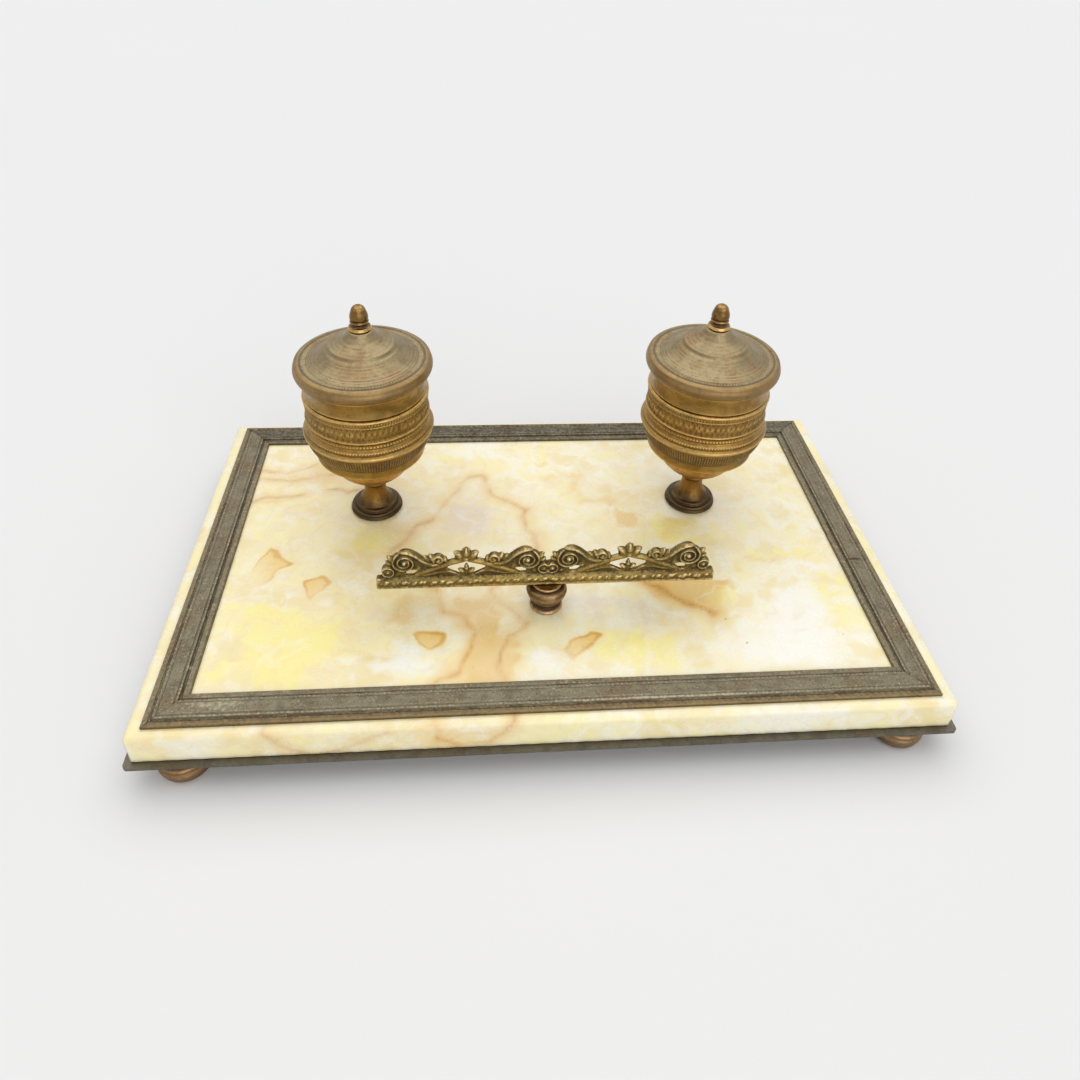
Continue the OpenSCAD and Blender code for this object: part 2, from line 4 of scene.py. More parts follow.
import bpy
import numpy as np
from mathutils import Matrix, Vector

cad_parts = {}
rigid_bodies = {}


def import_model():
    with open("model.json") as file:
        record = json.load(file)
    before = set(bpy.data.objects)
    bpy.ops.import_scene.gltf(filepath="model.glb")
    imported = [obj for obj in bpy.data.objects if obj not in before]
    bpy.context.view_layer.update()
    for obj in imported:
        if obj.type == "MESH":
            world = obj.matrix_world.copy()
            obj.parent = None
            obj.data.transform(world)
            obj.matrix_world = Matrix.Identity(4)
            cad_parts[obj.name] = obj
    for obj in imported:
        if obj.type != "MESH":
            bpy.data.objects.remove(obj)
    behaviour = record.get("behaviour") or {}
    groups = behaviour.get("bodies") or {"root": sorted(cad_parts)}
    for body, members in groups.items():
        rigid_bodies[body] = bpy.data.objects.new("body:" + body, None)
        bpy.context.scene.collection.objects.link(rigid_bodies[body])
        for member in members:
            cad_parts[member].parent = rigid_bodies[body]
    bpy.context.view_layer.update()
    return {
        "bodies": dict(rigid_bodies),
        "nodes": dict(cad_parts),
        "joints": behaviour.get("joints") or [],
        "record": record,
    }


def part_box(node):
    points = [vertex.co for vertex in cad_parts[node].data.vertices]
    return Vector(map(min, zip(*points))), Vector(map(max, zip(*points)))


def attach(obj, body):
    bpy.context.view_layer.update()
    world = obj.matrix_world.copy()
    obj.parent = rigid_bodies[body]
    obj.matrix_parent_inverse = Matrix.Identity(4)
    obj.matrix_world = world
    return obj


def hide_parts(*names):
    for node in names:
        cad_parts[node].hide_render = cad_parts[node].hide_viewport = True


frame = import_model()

# Desk inkstand: an onyx slab in a moulded bronze frame, with two turned and milled ink urns and a
# cast scroll pen rest. Shapes are written in millimetres and put into the meshes in metres.
MM = 0.001
RAIL_WIDTH = 12.2    # of the frame's moulding
POLE = 1e-6          # a radius below this is a point on the axis


def box_mm(node):
    """Lowest and highest corner of a CAD node, in millimetres."""
    return [np.array(corner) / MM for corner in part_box(node)]


slab_low, slab_high = box_mm("onyx_slab")
slab_top = slab_high[2]
urn_axis = {side: np.mean(box_mm(f"{side}_urn_cup"), axis=0) for side in ("left", "right")}
rest_low, rest_high = box_mm("pen_rest_gallery")


# ---- shader wires


class Wire:
    """An output socket of a material's tree. Arithmetic on values adds Math nodes, on vectors Vector Math nodes."""

    def __init__(self, finish, socket):
        self.finish, self.socket = finish, socket
        self.is_vector = socket.type == "VECTOR"

    def _calc(self, operation, first, second):
        kind = "ShaderNodeVectorMath" if self.is_vector else "ShaderNodeMath"
        if self.is_vector:
            first, second = [(v, v, v) if isinstance(v, (int, float)) else v for v in (first, second)]
        return self.finish.node(kind, {"operation": operation}, {0: first, 1: second})

    def __add__(self, other):
        return self._calc("ADD", self, other)

    def __sub__(self, other):
        return self._calc("SUBTRACT", self, other)

    def __rsub__(self, other):
        return self._calc("SUBTRACT", other, self)

    def __mul__(self, other):
        return self._calc("MULTIPLY", self, other)

    def __pow__(self, other):
        return self._calc("POWER", self, other)

    def __neg__(self):
        return self._calc("MULTIPLY", self, -1.0)

    __radd__, __rmul__ = __add__, __mul__

    def size(self):
        """The value without its sign."""
        return self._calc("ABSOLUTE", self, 0.0)


class Finish:
    """A material being made, with one Principled shader for its surface."""

    def __init__(self, name, **constant):
        self.material = bpy.data.materials.new(name)
        self.material.use_nodes = True
        self.tree = self.material.node_tree
        self.surface = self.tree.nodes["Principled BSDF"]
        for socket, value in constant.items():
            self.surface.inputs[socket.replace("_", " ")].default_value = value

    def node(self, kind, settings, inputs, output=0):
        """Any node: its type, its settings, the values or links of its sockets, and which output to hand back."""
        made = self.tree.nodes.new(kind)
        for key, value in settings.items():
            setattr(made, key, value)
        for key, value in inputs.items():
            if isinstance(value, Wire):
                self.tree.links.new(value.socket, made.inputs[key])
            else:
                made.inputs[key].default_value = value
        return Wire(self, made.outputs[output])

    def place(self):
        """Object coordinates in millimetres."""
        spot = self.node("ShaderNodeTexCoord", {}, {}, "Object")
        return self.node("ShaderNodeVectorMath", {"operation": "SCALE"}, {0: spot, "Scale": 1 / MM})

    def along(self, vector):
        """The three parts of a vector."""
        split = self.node("ShaderNodeSeparateXYZ", {}, {0: vector})
        return [Wire(self, split.socket.node.outputs[k]) for k in range(3)]

    def noted(self, name):
        """A value noted at the mesh's points."""
        return self.node("ShaderNodeAttribute", {"attribute_name": name}, {}, "Fac")

    def cloud(self, spot, size, detail=3.0, rough=0.5):
        """Noise from 0 to 1 whose lumps are about size millimetres across."""
        return self.node("ShaderNodeTexNoise", {},
                         {"Vector": spot, "Scale": 1.0 / size, "Detail": detail, "Roughness": rough})

    def swirl(self, spot, size, reach):
        """The spot pushed about by up to reach millimetres, in lumps of the given size."""
        push = self.node("ShaderNodeTexNoise", {}, {"Vector": spot, "Scale": 1.0 / size, "Detail": 2.0}, "Color")
        push = self.node("ShaderNodeVectorMath", {"operation": "SUBTRACT"}, {0: push, 1: (0.5, 0.5, 0.5)})
        push = self.node("ShaderNodeVectorMath", {"operation": "SCALE"}, {0: push, "Scale": 2.0 * reach})
        return spot + push

    def step(self, value, low, high, to_low=0.0, to_high=1.0):
        """Smooth step of a value from low to high."""
        return self.node("ShaderNodeMapRange", {"interpolation_type": "SMOOTHSTEP"},
                         {"Value": value, "From Min": low, "From Max": high, "To Min": to_low, "To Max": to_high})

    def mix(self, factor, first, second):
        """Two colours mixed: the first where the factor is 0, the second where it is 1."""
        first, second = [(*c, 1.0) if isinstance(c, tuple) else c for c in (first, second)]
        return self.node("ShaderNodeMix", {"data_type": "RGBA"}, {0: factor, 6: first, 7: second}, 2)

    def bump(self, height, depth):
        """Bump from a height in millimetres times depth."""
        return self.node("ShaderNodeBump", {}, {"Height": height, "Distance": depth * MM, "Strength": 1.0})

    def feeds(self, **sockets):
        """Links wires to the shader's own sockets."""
        for socket, wire in sockets.items():
            self.tree.links.new(wire.socket, self.surface.inputs[socket.replace("_", " ")])


def tone(red, green, blue):
    """A colour written as eyes see it, 0 to 255, as the shader's linear light."""
    return tuple(((c / 255 + 0.055) / 1.055) ** 2.4 if c > 10 else c / 255 / 12.92 for c in (red, green, blue))


# ---- surfaces


def bowed(stations, closed=False):
    """Line through stations (radius, height, bow): from a to b the point at t is a + t (b - a),
    pushed to the right of the way by 4 bow t (1 - t)."""
    rows = np.array([tuple(s) + (0,) * (3 - len(s)) for s in stations], float)
    starts, ends = (rows, np.roll(rows, -1, axis=0)) if closed else (rows[:-1], rows[1:])
    way = ends[:, :2] - starts[:, :2]
    side = np.stack([way[:, 1], -way[:, 0]], 1) / np.linalg.norm(way, axis=1)[:, None]
    t = np.linspace(0, 1, 25)[None, :-1, None]
    line = starts[:, None, :2] + way[:, None] * t + side[:, None] * 4 * starts[:, 2, None, None] * t * (1 - t)
    line = line.reshape(-1, 2)
    return line if closed else np.vstack([line, rows[-1:, :2]])


def evened(line, gap, closed=False):
    """The same line with its points a gap apart along its length."""
    if closed:
        line = np.vstack([line, line[:1]])
    length = np.concatenate([[0], np.cumsum(np.linalg.norm(np.diff(line, axis=0), axis=1))])
    s = np.linspace(0, length[-1], max(8, int(round(length[-1] / gap))) + 1)
    line = np.stack([np.interp(s, length, line[:, k]) for k in range(line.shape[1])], 1)
    return line[:-1] if closed else line


def softened(line, reach, closed=False):
    """Each point becomes the mean of its neighbours under a bell curve that is reach points wide. Ends stay."""
    half = int(3 * reach) + 1
    bell = np.exp(-0.5 * (np.arange(-half, half + 1) / reach) ** 2)
    if closed:
        padded = np.vstack([line[-half:], line, line[:half]])
    else:
        padded = np.vstack([2 * line[0] - line[half:0:-1], line, 2 * line[-1] - line[-2:-half - 2:-1]])
    return np.stack([np.convolve(padded[:, k], bell / bell.sum(), "valid") for k in range(line.shape[1])], 1)


def gathered(line, count, closed=False):
    """Rows of a fine line, close together where it bends: their spacing follows the sum of way and turning.
    Returns (points, outward normals, how far each point stands proud of the smoothed line)."""
    ahead = np.roll(line, -1, axis=0) if closed else np.vstack([line[1:], 2 * line[-1:] - line[-2:-1]])
    behind = np.roll(line, 1, axis=0) if closed else np.vstack([2 * line[:1] - line[1:2], line[:-1]])
    way = (ahead - behind) / np.linalg.norm(ahead - behind, axis=1)[:, None]
    normal = np.stack([way[:, 1], -way[:, 0]], 1)
    turn = np.abs(np.cross(way, np.roll(way, -1, axis=0)))
    turn[-1] = turn[-1] if closed else 0
    proud = np.sum((line - softened(line, 8, closed)) * normal, axis=1)
    weight = np.linalg.norm(ahead - behind, axis=1) / 2 + 3.0 * turn
    total = np.concatenate([[0], np.cumsum((weight[1:] + weight[:-1]) / 2)])
    data = np.hstack([line, normal, proud[:, None]])
    if closed:
        data = np.vstack([data, data[:1]])
        total = np.concatenate([total, [total[-1] + weight[-1]]])
    spot = np.linspace(0, total[-1], count + 1 if closed else count)
    data = np.stack([np.interp(spot, total, data[:, k]) for k in range(5)], 1)
    data = data[:-1] if closed else data
    return data[:, :2], data[:, 2:4], data[:, 4]


def sheet_mesh(name, grid, wear_and_shade=None, rows_closed=False, columns_closed=True, warm=None, capped=False):
    """Mesh from a grid of points: rows by columns by 3, in millimetres, its quads turned outward where columns run
    to the left of rows seen from outside. A first or last row that has shrunk to a point becomes one point."""
    rows, columns = grid.shape[:2]
    points = grid.reshape(-1, 3)
    index = np.arange(rows * columns).reshape(rows, columns)
    upper = np.roll(np.arange(rows), -1) if rows_closed else np.arange(1, rows)
    lower = np.arange(rows) if rows_closed else np.arange(rows - 1)
    poles = []
    if columns_closed and not rows_closed:
        poles = [r for r in (0, rows - 1) if np.ptp(grid[r], axis=0).max() < POLE]
    for r in poles:
        index[r] = index[r, 0]
    right = np.roll(index, -1, axis=1) if columns_closed else index[:, 1:]
    left = index if columns_closed else index[:, :-1]
    quads = np.stack([left[lower], right[lower], right[upper], left[upper]], -1)
    solid = np.ones(len(lower), bool)
    for r in poles:
        solid[0 if r == 0 else -1] = False
    faces = quads[solid].reshape(-1, 4).tolist()
    if 0 in poles:
        faces += quads[0][:, [0, 2, 3]].tolist()
    if rows - 1 in poles:
        faces += quads[-1][:, [0, 1, 2]].tolist()
    if capped:
        faces += [index[:, 0].tolist(), index[::-1, -1].tolist()]
    return mesh_object(name, points, faces, notes={"wear_and_shade": wear_and_shade, "warm": warm})


def note(mesh, notes):
    """Writes values at the mesh's points, one attribute to a name."""
    for key, values in notes.items():
        if values is not None:
            layer = mesh.attributes.new(key, "FLOAT", "POINT")
            layer.data.foreach_set("value", np.ascontiguousarray(values, np.float32).ravel())


def placed(name, data):
    """An object at the origin, in the scene."""
    thing = bpy.data.objects.new(name, data)
    bpy.context.scene.collection.objects.link(thing)
    return thing


def mesh_object(name, points, faces, sharp=40.0, notes=None):
    """A mesh object with smooth faces, edges sharper than so many degrees kept, and values noted at its points."""
    mesh = bpy.data.meshes.new(name)
    mesh.from_pydata((points * MM).tolist(), [], faces)
    note(mesh, notes or {})
    mesh.validate(clean_customdata=False)
    mesh.shade_smooth()
    if sharp:
        mesh.set_sharp_from_angle(angle=math.radians(sharp))
    return placed(name, mesh)


def dress(piece, material, slot, body, *nodes):
    """Gives a piece its material and body, and hides the CAD nodes that it stands for. Its slot is not used."""
    piece.data.materials.append(material)
    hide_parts(*nodes)
    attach(piece, body)


def turned(name, stations, centre, around, rows, relief=None, closed=True, soft=1.2, gap=0.1, warm=None,
           contrast=1.0):
    """Surface of turning about the upright line through centre: the point at row i and angle a is
    centre + (r cos a, r sin a, z), where (r, z) = line_i + normal_i relief(line_i, a). The line is worked out
    a gap apart, softened, and thinned to so many rows. warm(r, z) says where the finish is the warmer one."""
    line = softened(evened(bowed(stations, closed), gap, closed), soft, closed)
    if not closed:
        line[[0, -1]] = bowed(stations)[[0, -1]]
    line, normal, proud = gathered(line, rows, closed)
    angle = np.arange(around) * 2 * math.pi / around
    push, mark = relief(line, angle) if relief else (np.zeros((len(line), around)),) * 2
    radius = line[:, :1] + normal[:, :1] * push
    height = line[:, 1:] + normal[:, 1:] * push
    for r in (0, -1):
        if not closed and line[r, 0] < POLE:
            radius[r], height[r] = 0, line[r, 1]
    grid = np.stack([centre[0] + radius * np.cos(angle), centre[1] + radius * np.sin(angle),
                     centre[2] + height], -1)
    wear_and_shade = np.clip(proud[:, None] / 0.25, -1, 1) * contrast + mark
    glow = None if warm is None else warm(line[:, :1], line[:, 1:]) + 0 * mark
    return sheet_mesh(name, grid, wear_and_shade, rows_closed=closed, warm=glow)


def ridge(value, middle, width):
    """Bell-shaped ridge of height 1: exp(-((value - middle) / width)^2)."""
    return np.exp(-((value - middle) / width) ** 2)


def between(value, low, high, edge):
    """1 between low and high, with soft edges: the product of a rising and a falling logistic step."""
    return 1 / (1 + np.exp(-(value - low) / edge)) / (1 + np.exp((value - high) / edge))


def beads(turn, height, middle, radius):
    """Row of half balls, sqrt(1 - across^2 - up^2): turn counts beads round the piece, and up is the height
    from the row's middle over the radius."""
    across = (turn - np.floor(turn) - 0.5) * 2
    up = (height - middle) / radius
    return np.sqrt(np.clip(1 - across ** 2 - up ** 2, 0, 1))


# ---- metals


def old_brass(name, recess_and_shade, body, high, second=None, gloss=0.3, film=0.5, grain=1.0, speckle=0.0, lines=0.0,
              metal=1.0, deep=1.0, mottle=1.0):
    """Aged brass or bronze: dark film in the hollows, rubbed metal on the high places, spots of both between. The same
    dark film colour also lays the painted shade that some pieces note with their wear.
    second is the tone of places noted as warm. gloss and film are the roughness of bright and of dull metal.
    lines adds fine marks of turning, by height and by distance from the nearer urn's axis."""
    finish = Finish(name, IOR=1.5, Specular_IOR_Level=0.5)
    spot = finish.place()
    wear_and_shade = finish.noted("wear_and_shade")
    broad = finish.cloud(spot, 14.0, 3.0)
    blotch = finish.cloud(spot + 53.0, 5.0, 3.0)
    fine = finish.cloud(spot, 1.6 * grain, 4.0, 0.6)
    pit = finish.cloud(spot, 0.55 * grain, 2.0)
    rubbed = finish.step(wear_and_shade + (fine - 0.5) * 1.1 * mottle + (broad - 0.5) * 0.8, 0.15, 1.05)
    sunk_and_shaded = finish.step(-wear_and_shade + (fine - 0.5) * 0.8 * mottle + (broad - 0.5) * 0.4, 0.1, 0.95)
    colour = body
    if second:
        warm = finish.noted("warm")
        colour = finish.mix(warm, body, second)
        high = finish.mix(warm, high, tuple(min(1.0, c * 1.4) for c in second))
    colour = finish.mix(finish.step(blotch + (fine - 0.5) * 0.5, 0.42, 0.70) * 0.35, colour, recess_and_shade)
    rust = tuple(b * k for b, k in zip(body, (0.92, 0.72, 0.60)))
    colour = finish.mix(finish.step(broad + (fine - 0.5) * 0.4, 0.50, 0.66) * 0.55, colour, rust)
    colour = finish.mix(finish.step(pit, 0.54, 0.74) * min(0.9, 0.45 * mottle), colour, recess_and_shade)
    # the dark film colour here also lays the painted shade noted under the bulge and on the back rail
    colour = finish.mix(sunk_and_shaded * 0.8, colour, recess_and_shade)
    colour = finish.mix(rubbed * 0.85, colour, high)
    if speckle:
        colour = finish.mix(finish.step(finish.cloud(spot + 37.0, 0.9, 1.0), 0.66, 0.76) * speckle, colour, high)
    if lines:
        part = finish.along(spot)
        off = part[0].size() - float(urn_axis["right"][0])
        back = part[1] - float(urn_axis["right"][1])
        reach = (off * off + back * back) ** 0.5
        turning = finish.cloud(finish.node("ShaderNodeCombineXYZ", {}, {0: reach + part[2] * 0.9}), 0.35, 2.0)
        colour = finish.mix(finish.step(turning, 0.45, 0.75) * lines, colour, recess_and_shade)
        height = turning * 0.04 + fine * 0.03 + pit * 0.02
    else:
        height = fine * 0.05 + pit * 0.04
    rough = finish.step(broad + (fine - 0.5) * 0.7, 0.3, 0.75, gloss, film)
    finish.feeds(Base_Color=colour, Roughness=rough + (sunk_and_shaded - rubbed * 0.6) * 0.15,
                 Metallic=finish.step(sunk_and_shaded, 0.0, 1.0, metal, metal * 0.55),
                 Normal=finish.bump(height, deep))
    return finish.material


# gilt's second tone is used only low on the bowl: lighter, warmer gilt there is painted light thrown up from the stone
# onto the underside
gilt = old_brass("gilt_brass", tone(76, 57, 29), tone(160, 128, 70), tone(224, 188, 120), tone(204, 152, 78),
                 0.3, 0.48, lines=0.3)
lid_metal = old_brass("lid_brass", tone(98, 85, 60), tone(150, 134, 102), tone(182, 164, 126), tone(150, 122, 80),
                      0.38, 0.52, lines=0.4)
finial_metal = old_brass("finial_brass", tone(54, 42, 24), tone(128, 98, 56), tone(212, 174, 112), None,
                         0.2, 0.4, lines=0.2)
brown = old_brass("brown_brass", tone(38, 32, 24), tone(74, 61, 43), tone(116, 95, 66), tone(144, 106, 50),
                  0.3, 0.5, lines=0.2)
stem_metal = old_brass("stem_brass", tone(46, 35, 23), tone(108, 84, 54), tone(186, 154, 110), None, 0.28, 0.46, 0.8)
dark = old_brass("dark_bronze", tone(35, 30, 18), tone(124, 106, 62), tone(216, 192, 138), tone(168, 144, 84),
                 0.26, 0.46, 0.7, deep=3.0, mottle=2.2)
olive = old_brass("olive_bronze", tone(58, 51, 38), tone(122, 114, 93), tone(174, 165, 141), tone(120, 103, 72),
                  0.42, 0.6, 0.9, speckle=0.6, metal=0.8, deep=2.0, mottle=1.9)
copper = old_brass("copper_brass", tone(52, 42, 31), tone(136, 111, 81), tone(202, 170, 131), None, 0.3, 0.48)
plate_metal = old_brass("plate_bronze", tone(50, 48, 40), tone(110, 105, 90), tone(150, 142, 124), None,
                        0.42, 0.6, metal=0.7)
plain = old_brass("plain_brass", tone(110, 86, 40), tone(190, 158, 88), tone(220, 190, 120), None, 0.3, 0.4)


def glazed():
    """White glaze with faint clouds and fine crazing."""
    finish = Finish("white_glaze", IOR=1.5, Coat_Weight=0.6, Coat_Roughness=0.05)
    spot = finish.place()
    broad = finish.cloud(spot, 9.0)
    cracks = finish.node("ShaderNodeTexVoronoi", {"feature": "DISTANCE_TO_EDGE"},
                         {"Vector": finish.swirl(spot, 3.0, 0.6), "Scale": 0.32})
    craze = finish.step(cracks, 0.0, 0.03, 1.0, 0.0)
    colour = finish.mix(broad, tone(240, 238, 230), tone(228, 224, 212))
    colour = finish.mix(craze * 0.25, colour, tone(176, 160, 130))
    finish.feeds(Base_Color=colour, Roughness=finish.step(broad, 0.3, 0.7, 0.12, 0.22),
                 Normal=finish.bump(finish.cloud(spot, 5.0, 1.0), 0.04))
    return finish.material


glaze = glazed()


# ---- onyx slab


def to_line(x, y, corners, closed=False):
    """Distance in millimetres from points to a broken line through corners: the least of the distances to its
    stretches, each the length from the point to the nearest point of the stretch."""
    corners = np.array(corners, float)
    starts, ends = (corners, np.roll(corners, -1, axis=0)) if closed else (corners[:-1], corners[1:])
    best = np.full(x.shape, 1e3)
    for (ax, ay), (bx, by) in zip(starts, ends):
        wx, wy = bx - ax, by - ay
        t = np.clip(((x - ax) * wx + (y - ay) * wy) / (wx * wx + wy * wy), 0, 1)
        best = np.minimum(best, np.hypot(x - ax - t * wx, y - ay - t * wy))
    return best


def to_shape(x, y, corners):
    """Signed distance to a closed outline: negative inside, where a ray crosses the outline an odd number of times."""
    corners = np.array(corners, float)
    inside = np.zeros(x.shape, bool)
    for (ax, ay), (bx, by) in zip(corners, np.roll(corners, -1, axis=0)):
        if ay != by:
            inside ^= ((ay > y) != (by > y)) & (x < (bx - ax) * (y - ay) / (by - ay) + ax)
    return np.where(inside, -1, 1) * to_line(x, y, corners, True)


def wavy(x, y, size, reach, turn=0.0):
    """x and y pushed about by a sum of sines of falling size, for a stone's uneven lines."""
    for k, (share, angle) in enumerate(((1.0, 0.4), (0.55, 1.9), (0.3, 3.3), (0.18, 5.1))):
        wave = 2 * math.pi / (size * share)
        across = x * math.cos(angle + turn) + y * math.sin(angle + turn)
        along = -x * math.sin(angle + turn) + y * math.cos(angle + turn)
        x = x + reach * share * np.sin(wave * along + 1.7 * k)
        y = y + reach * share * np.cos(wave * across + 2.3 * k)
    return x, y


# Veins and patches of the stone, in millimetres from the slab's middle, left to right and front to back
PEAK_VEIN = [(-60, -4), (-52, 7), (-44, 13), (-39, 19), (-37, 28), (-32, 37), (-24, 44), (-22, 38), (-17, 29),
             (-8, 24), (-5, 20), (-6, 15), (-3, 9), (0, 4), (-3, -4), (-12, -16), (-19, -24), (-15, -32), (-9, -41),
             (-12, -46), (-15, -51), (-18, -60), (-17, -70), (-13, -79), (-14, -86), (-20, -91), (-28, -93)]
LEFT_VEIN = [(-55, -6), (-46, -18), (-40, -27), (-37, -33), (-29, -39), (-27, -45), (-27, -51), (-30, -59),
             (-36, -65), (-42, -74), (-41, -82), (-37, -89), (-28, -93)]
RIGHT_VEIN = [(34, -19), (42, -24), (45.5, -28), (49.5, -32), (53, -36), (57.5, -39), (61, -41)]
UPPER_LINES = [[(-125, 41), (-115, 42), (-102, 42), (-89, 44), (-70, 50)],
               [(-125, 47), (-116, 48), (-104, 49), (-93, 52)], [(-125, 27), (-115, 30), (-106, 31), (-98, 33)],
               [(-88, 34), (-79, 33), (-70, 36)], [(-92, -82), (-86, -90), (-74, -94), (-62, -91), (-55, -84)]]
# outline, then middle of the shading, its way and its reach
HEARTS = [([(-114, -21), (-110, -12), (-105, 1), (-99, -6), (-94, -9), (-99, -12), (-101, -16), (-111, -22)],
           (-101, -8), (0.8, 0.6), 9),
          ([(-91, -19), (-84, -15), (-79, -17), (-81, -23), (-85, -29), (-89, -24)], (-85, -20), (-0.6, 0.8), 11),
          ([(-47, -47), (-43, -44), (-37, -44), (-39, -49), (-42, -52), (-46, -50)], (-43, -48), (0.3, 0.9), 12),
          ([(5, -55), (9, -50), (16, -46), (19, -46), (18, -50), (12, -55), (7, -60)], (13, -51), (0.8, 0.6), 12)]
# x, y, reach along x, reach along y, strength
YELLOW = [(-103, -33, 14, 5, 0.9), (-90, -43, 16, 7, 1.0), (-95, -57, 11, 8, 0.9), (-80, -53, 11, 7, 0.8),
          (-112, -59, 5, 6, 0.8), (30, -55, 15, 9, 0.9), (86, -13, 8, 5, 0.5), (66, -30, 8, 4, 0.7),
          (60, 4, 16, 9, 0.5), (-108, 6, 8, 12, 0.5), (6, 30, 9, 8, 0.3), (99, -8, 13, 2.6, 0.8),
          (105, -31, 3, 7, 0.8), (112, -28, 7, 4, 0.6), (110, -44, 8, 5, 0.7), (5, 56, 4, 9, 0.6),
          (-37, 55, 5, 3, 0.8), (52, 8, 14, 7, 0.5), (24, 10, 12, 8, 0.3), (-70, 2, 16, 10, 0.7),
          (-106, 74, 20, 6, 0.5), (-80, -86, 18, 5, 0.5), (20, -86, 30, 5, 0.5)]
TAN = [(-76, 2, 10, 9, 0.4), (-67, -7, 10, 5, 0.4), (-54, -35, 10, 5, 0.6), (-48, -28, 7, 5, 0.5),
       (18, 40, 12, 6, 0.7), (30, 26, 11, 6, 0.8), (37, 13, 5, 3, 1.0), (4, 52, 5, 5, 0.5), (60, 8, 10, 6, 0.5),
       (-95, 44, 22, 7, 0.7), (-112, 30, 10, 4, 0.5), (104, 36, 12, 12, 0.3), (56, -29, 9, 6, 1.0),
       (66, -26, 12, 4, 0.7), (48, -25, 8, 4, 0.8), (88, -15, 12, 3, 0.6), (-27, -31, 8, 6, 1.2),
       (-20, -42, 6, 7, 1.4), (-21, -53, 6, 9, 1.3), (-24, -65, 9, 9, 1.1), (50, -47, 12, 6, 0.4),
       (-28, -89, 12, 4, 0.6), (-92, 22, 12, 5, 0.4)]
ROSE = [(-27, 16, 12, 16, 0.9), (-24, -36, 10, 8, 0.4), (-60, 60, 22, 8, 0.3), (38, -38, 9, 6, 0.6),
        (18, -35, 12, 6, 0.6), (0, 20, 9, 14, 0.3)]
MILK = [(-54, -58, 15, 7, 1.0), (86, -56, 30, 14, 1.0), (92, -34, 12, 12, 0.9), (-2, -59, 8, 9, 0.9),
        (60, 45, 16, 16, 0.6), (-30, 60, 16, 7, 0.7), (-100, 20, 16, 6, 0.4), (106, -18, 9, 4, 0.8),
        (-92, -44, 3, 3, 0.7), (24, -42, 9, 6, 0.5), (80, -88, 30, 8, 0.7), (-112, -88, 12, 8, 0.6),
        (-60, -34, 9, 5, 0.4)]
SPECKS = [(-109, -49), (-68, -27), (57, -38), (65, -43), (70, -54), (106, -52), (106, -15), (44, 60), (-64, -29)]


def patches(x, y, spots):
    """Sum of soft round patches, each strength times exp(-(dx / a)^2 - (dy / b)^2)."""
    return sum(k * np.exp(-((x - cx) / a) ** 2 - ((y - cy) / b) ** 2) for cx, cy, a, b, k in spots)


def stone_notes(x, y):
    """What the stone shows at a place: the distances to its veins and hearts and the strengths of its patches."""
    wx, wy = wavy(x, y, 26.0, 1.1)
    fx, fy = wavy(x, y, 17.0, 2.4, 0.9)
    upper = np.min([to_line(wx, wy, line) for line in UPPER_LINES], axis=0)
    hearts = np.stack([to_shape(wx, wy, outline) for outline, *_ in HEARTS])
    shades = np.stack([np.clip(0.62 + ((x - mx) * ux + (y - my) * uy) / (2 * reach), 0, 1)
                       for _, (mx, my), (ux, uy), reach in HEARTS])
    shade = np.take_along_axis(shades, hearts.argmin(axis=0)[None], 0)[0]
    return {"peak_vein": to_line(wx, wy, PEAK_VEIN), "left_vein": to_line(wx, wy, LEFT_VEIN),
            "right_vein": to_line(wx, wy, RIGHT_VEIN), "upper_lines": upper, "heart": hearts.min(axis=0),
            "shade": shade,
            "yellow": patches(fx, fy, YELLOW), "tan": patches(fx, fy, TAN),
            "rose": patches(fx, fy, ROSE), "milk": patches(fx, fy, MILK),
            "specks": np.min([np.hypot(x - sx, y - sy) for sx, sy in SPECKS], axis=0)}


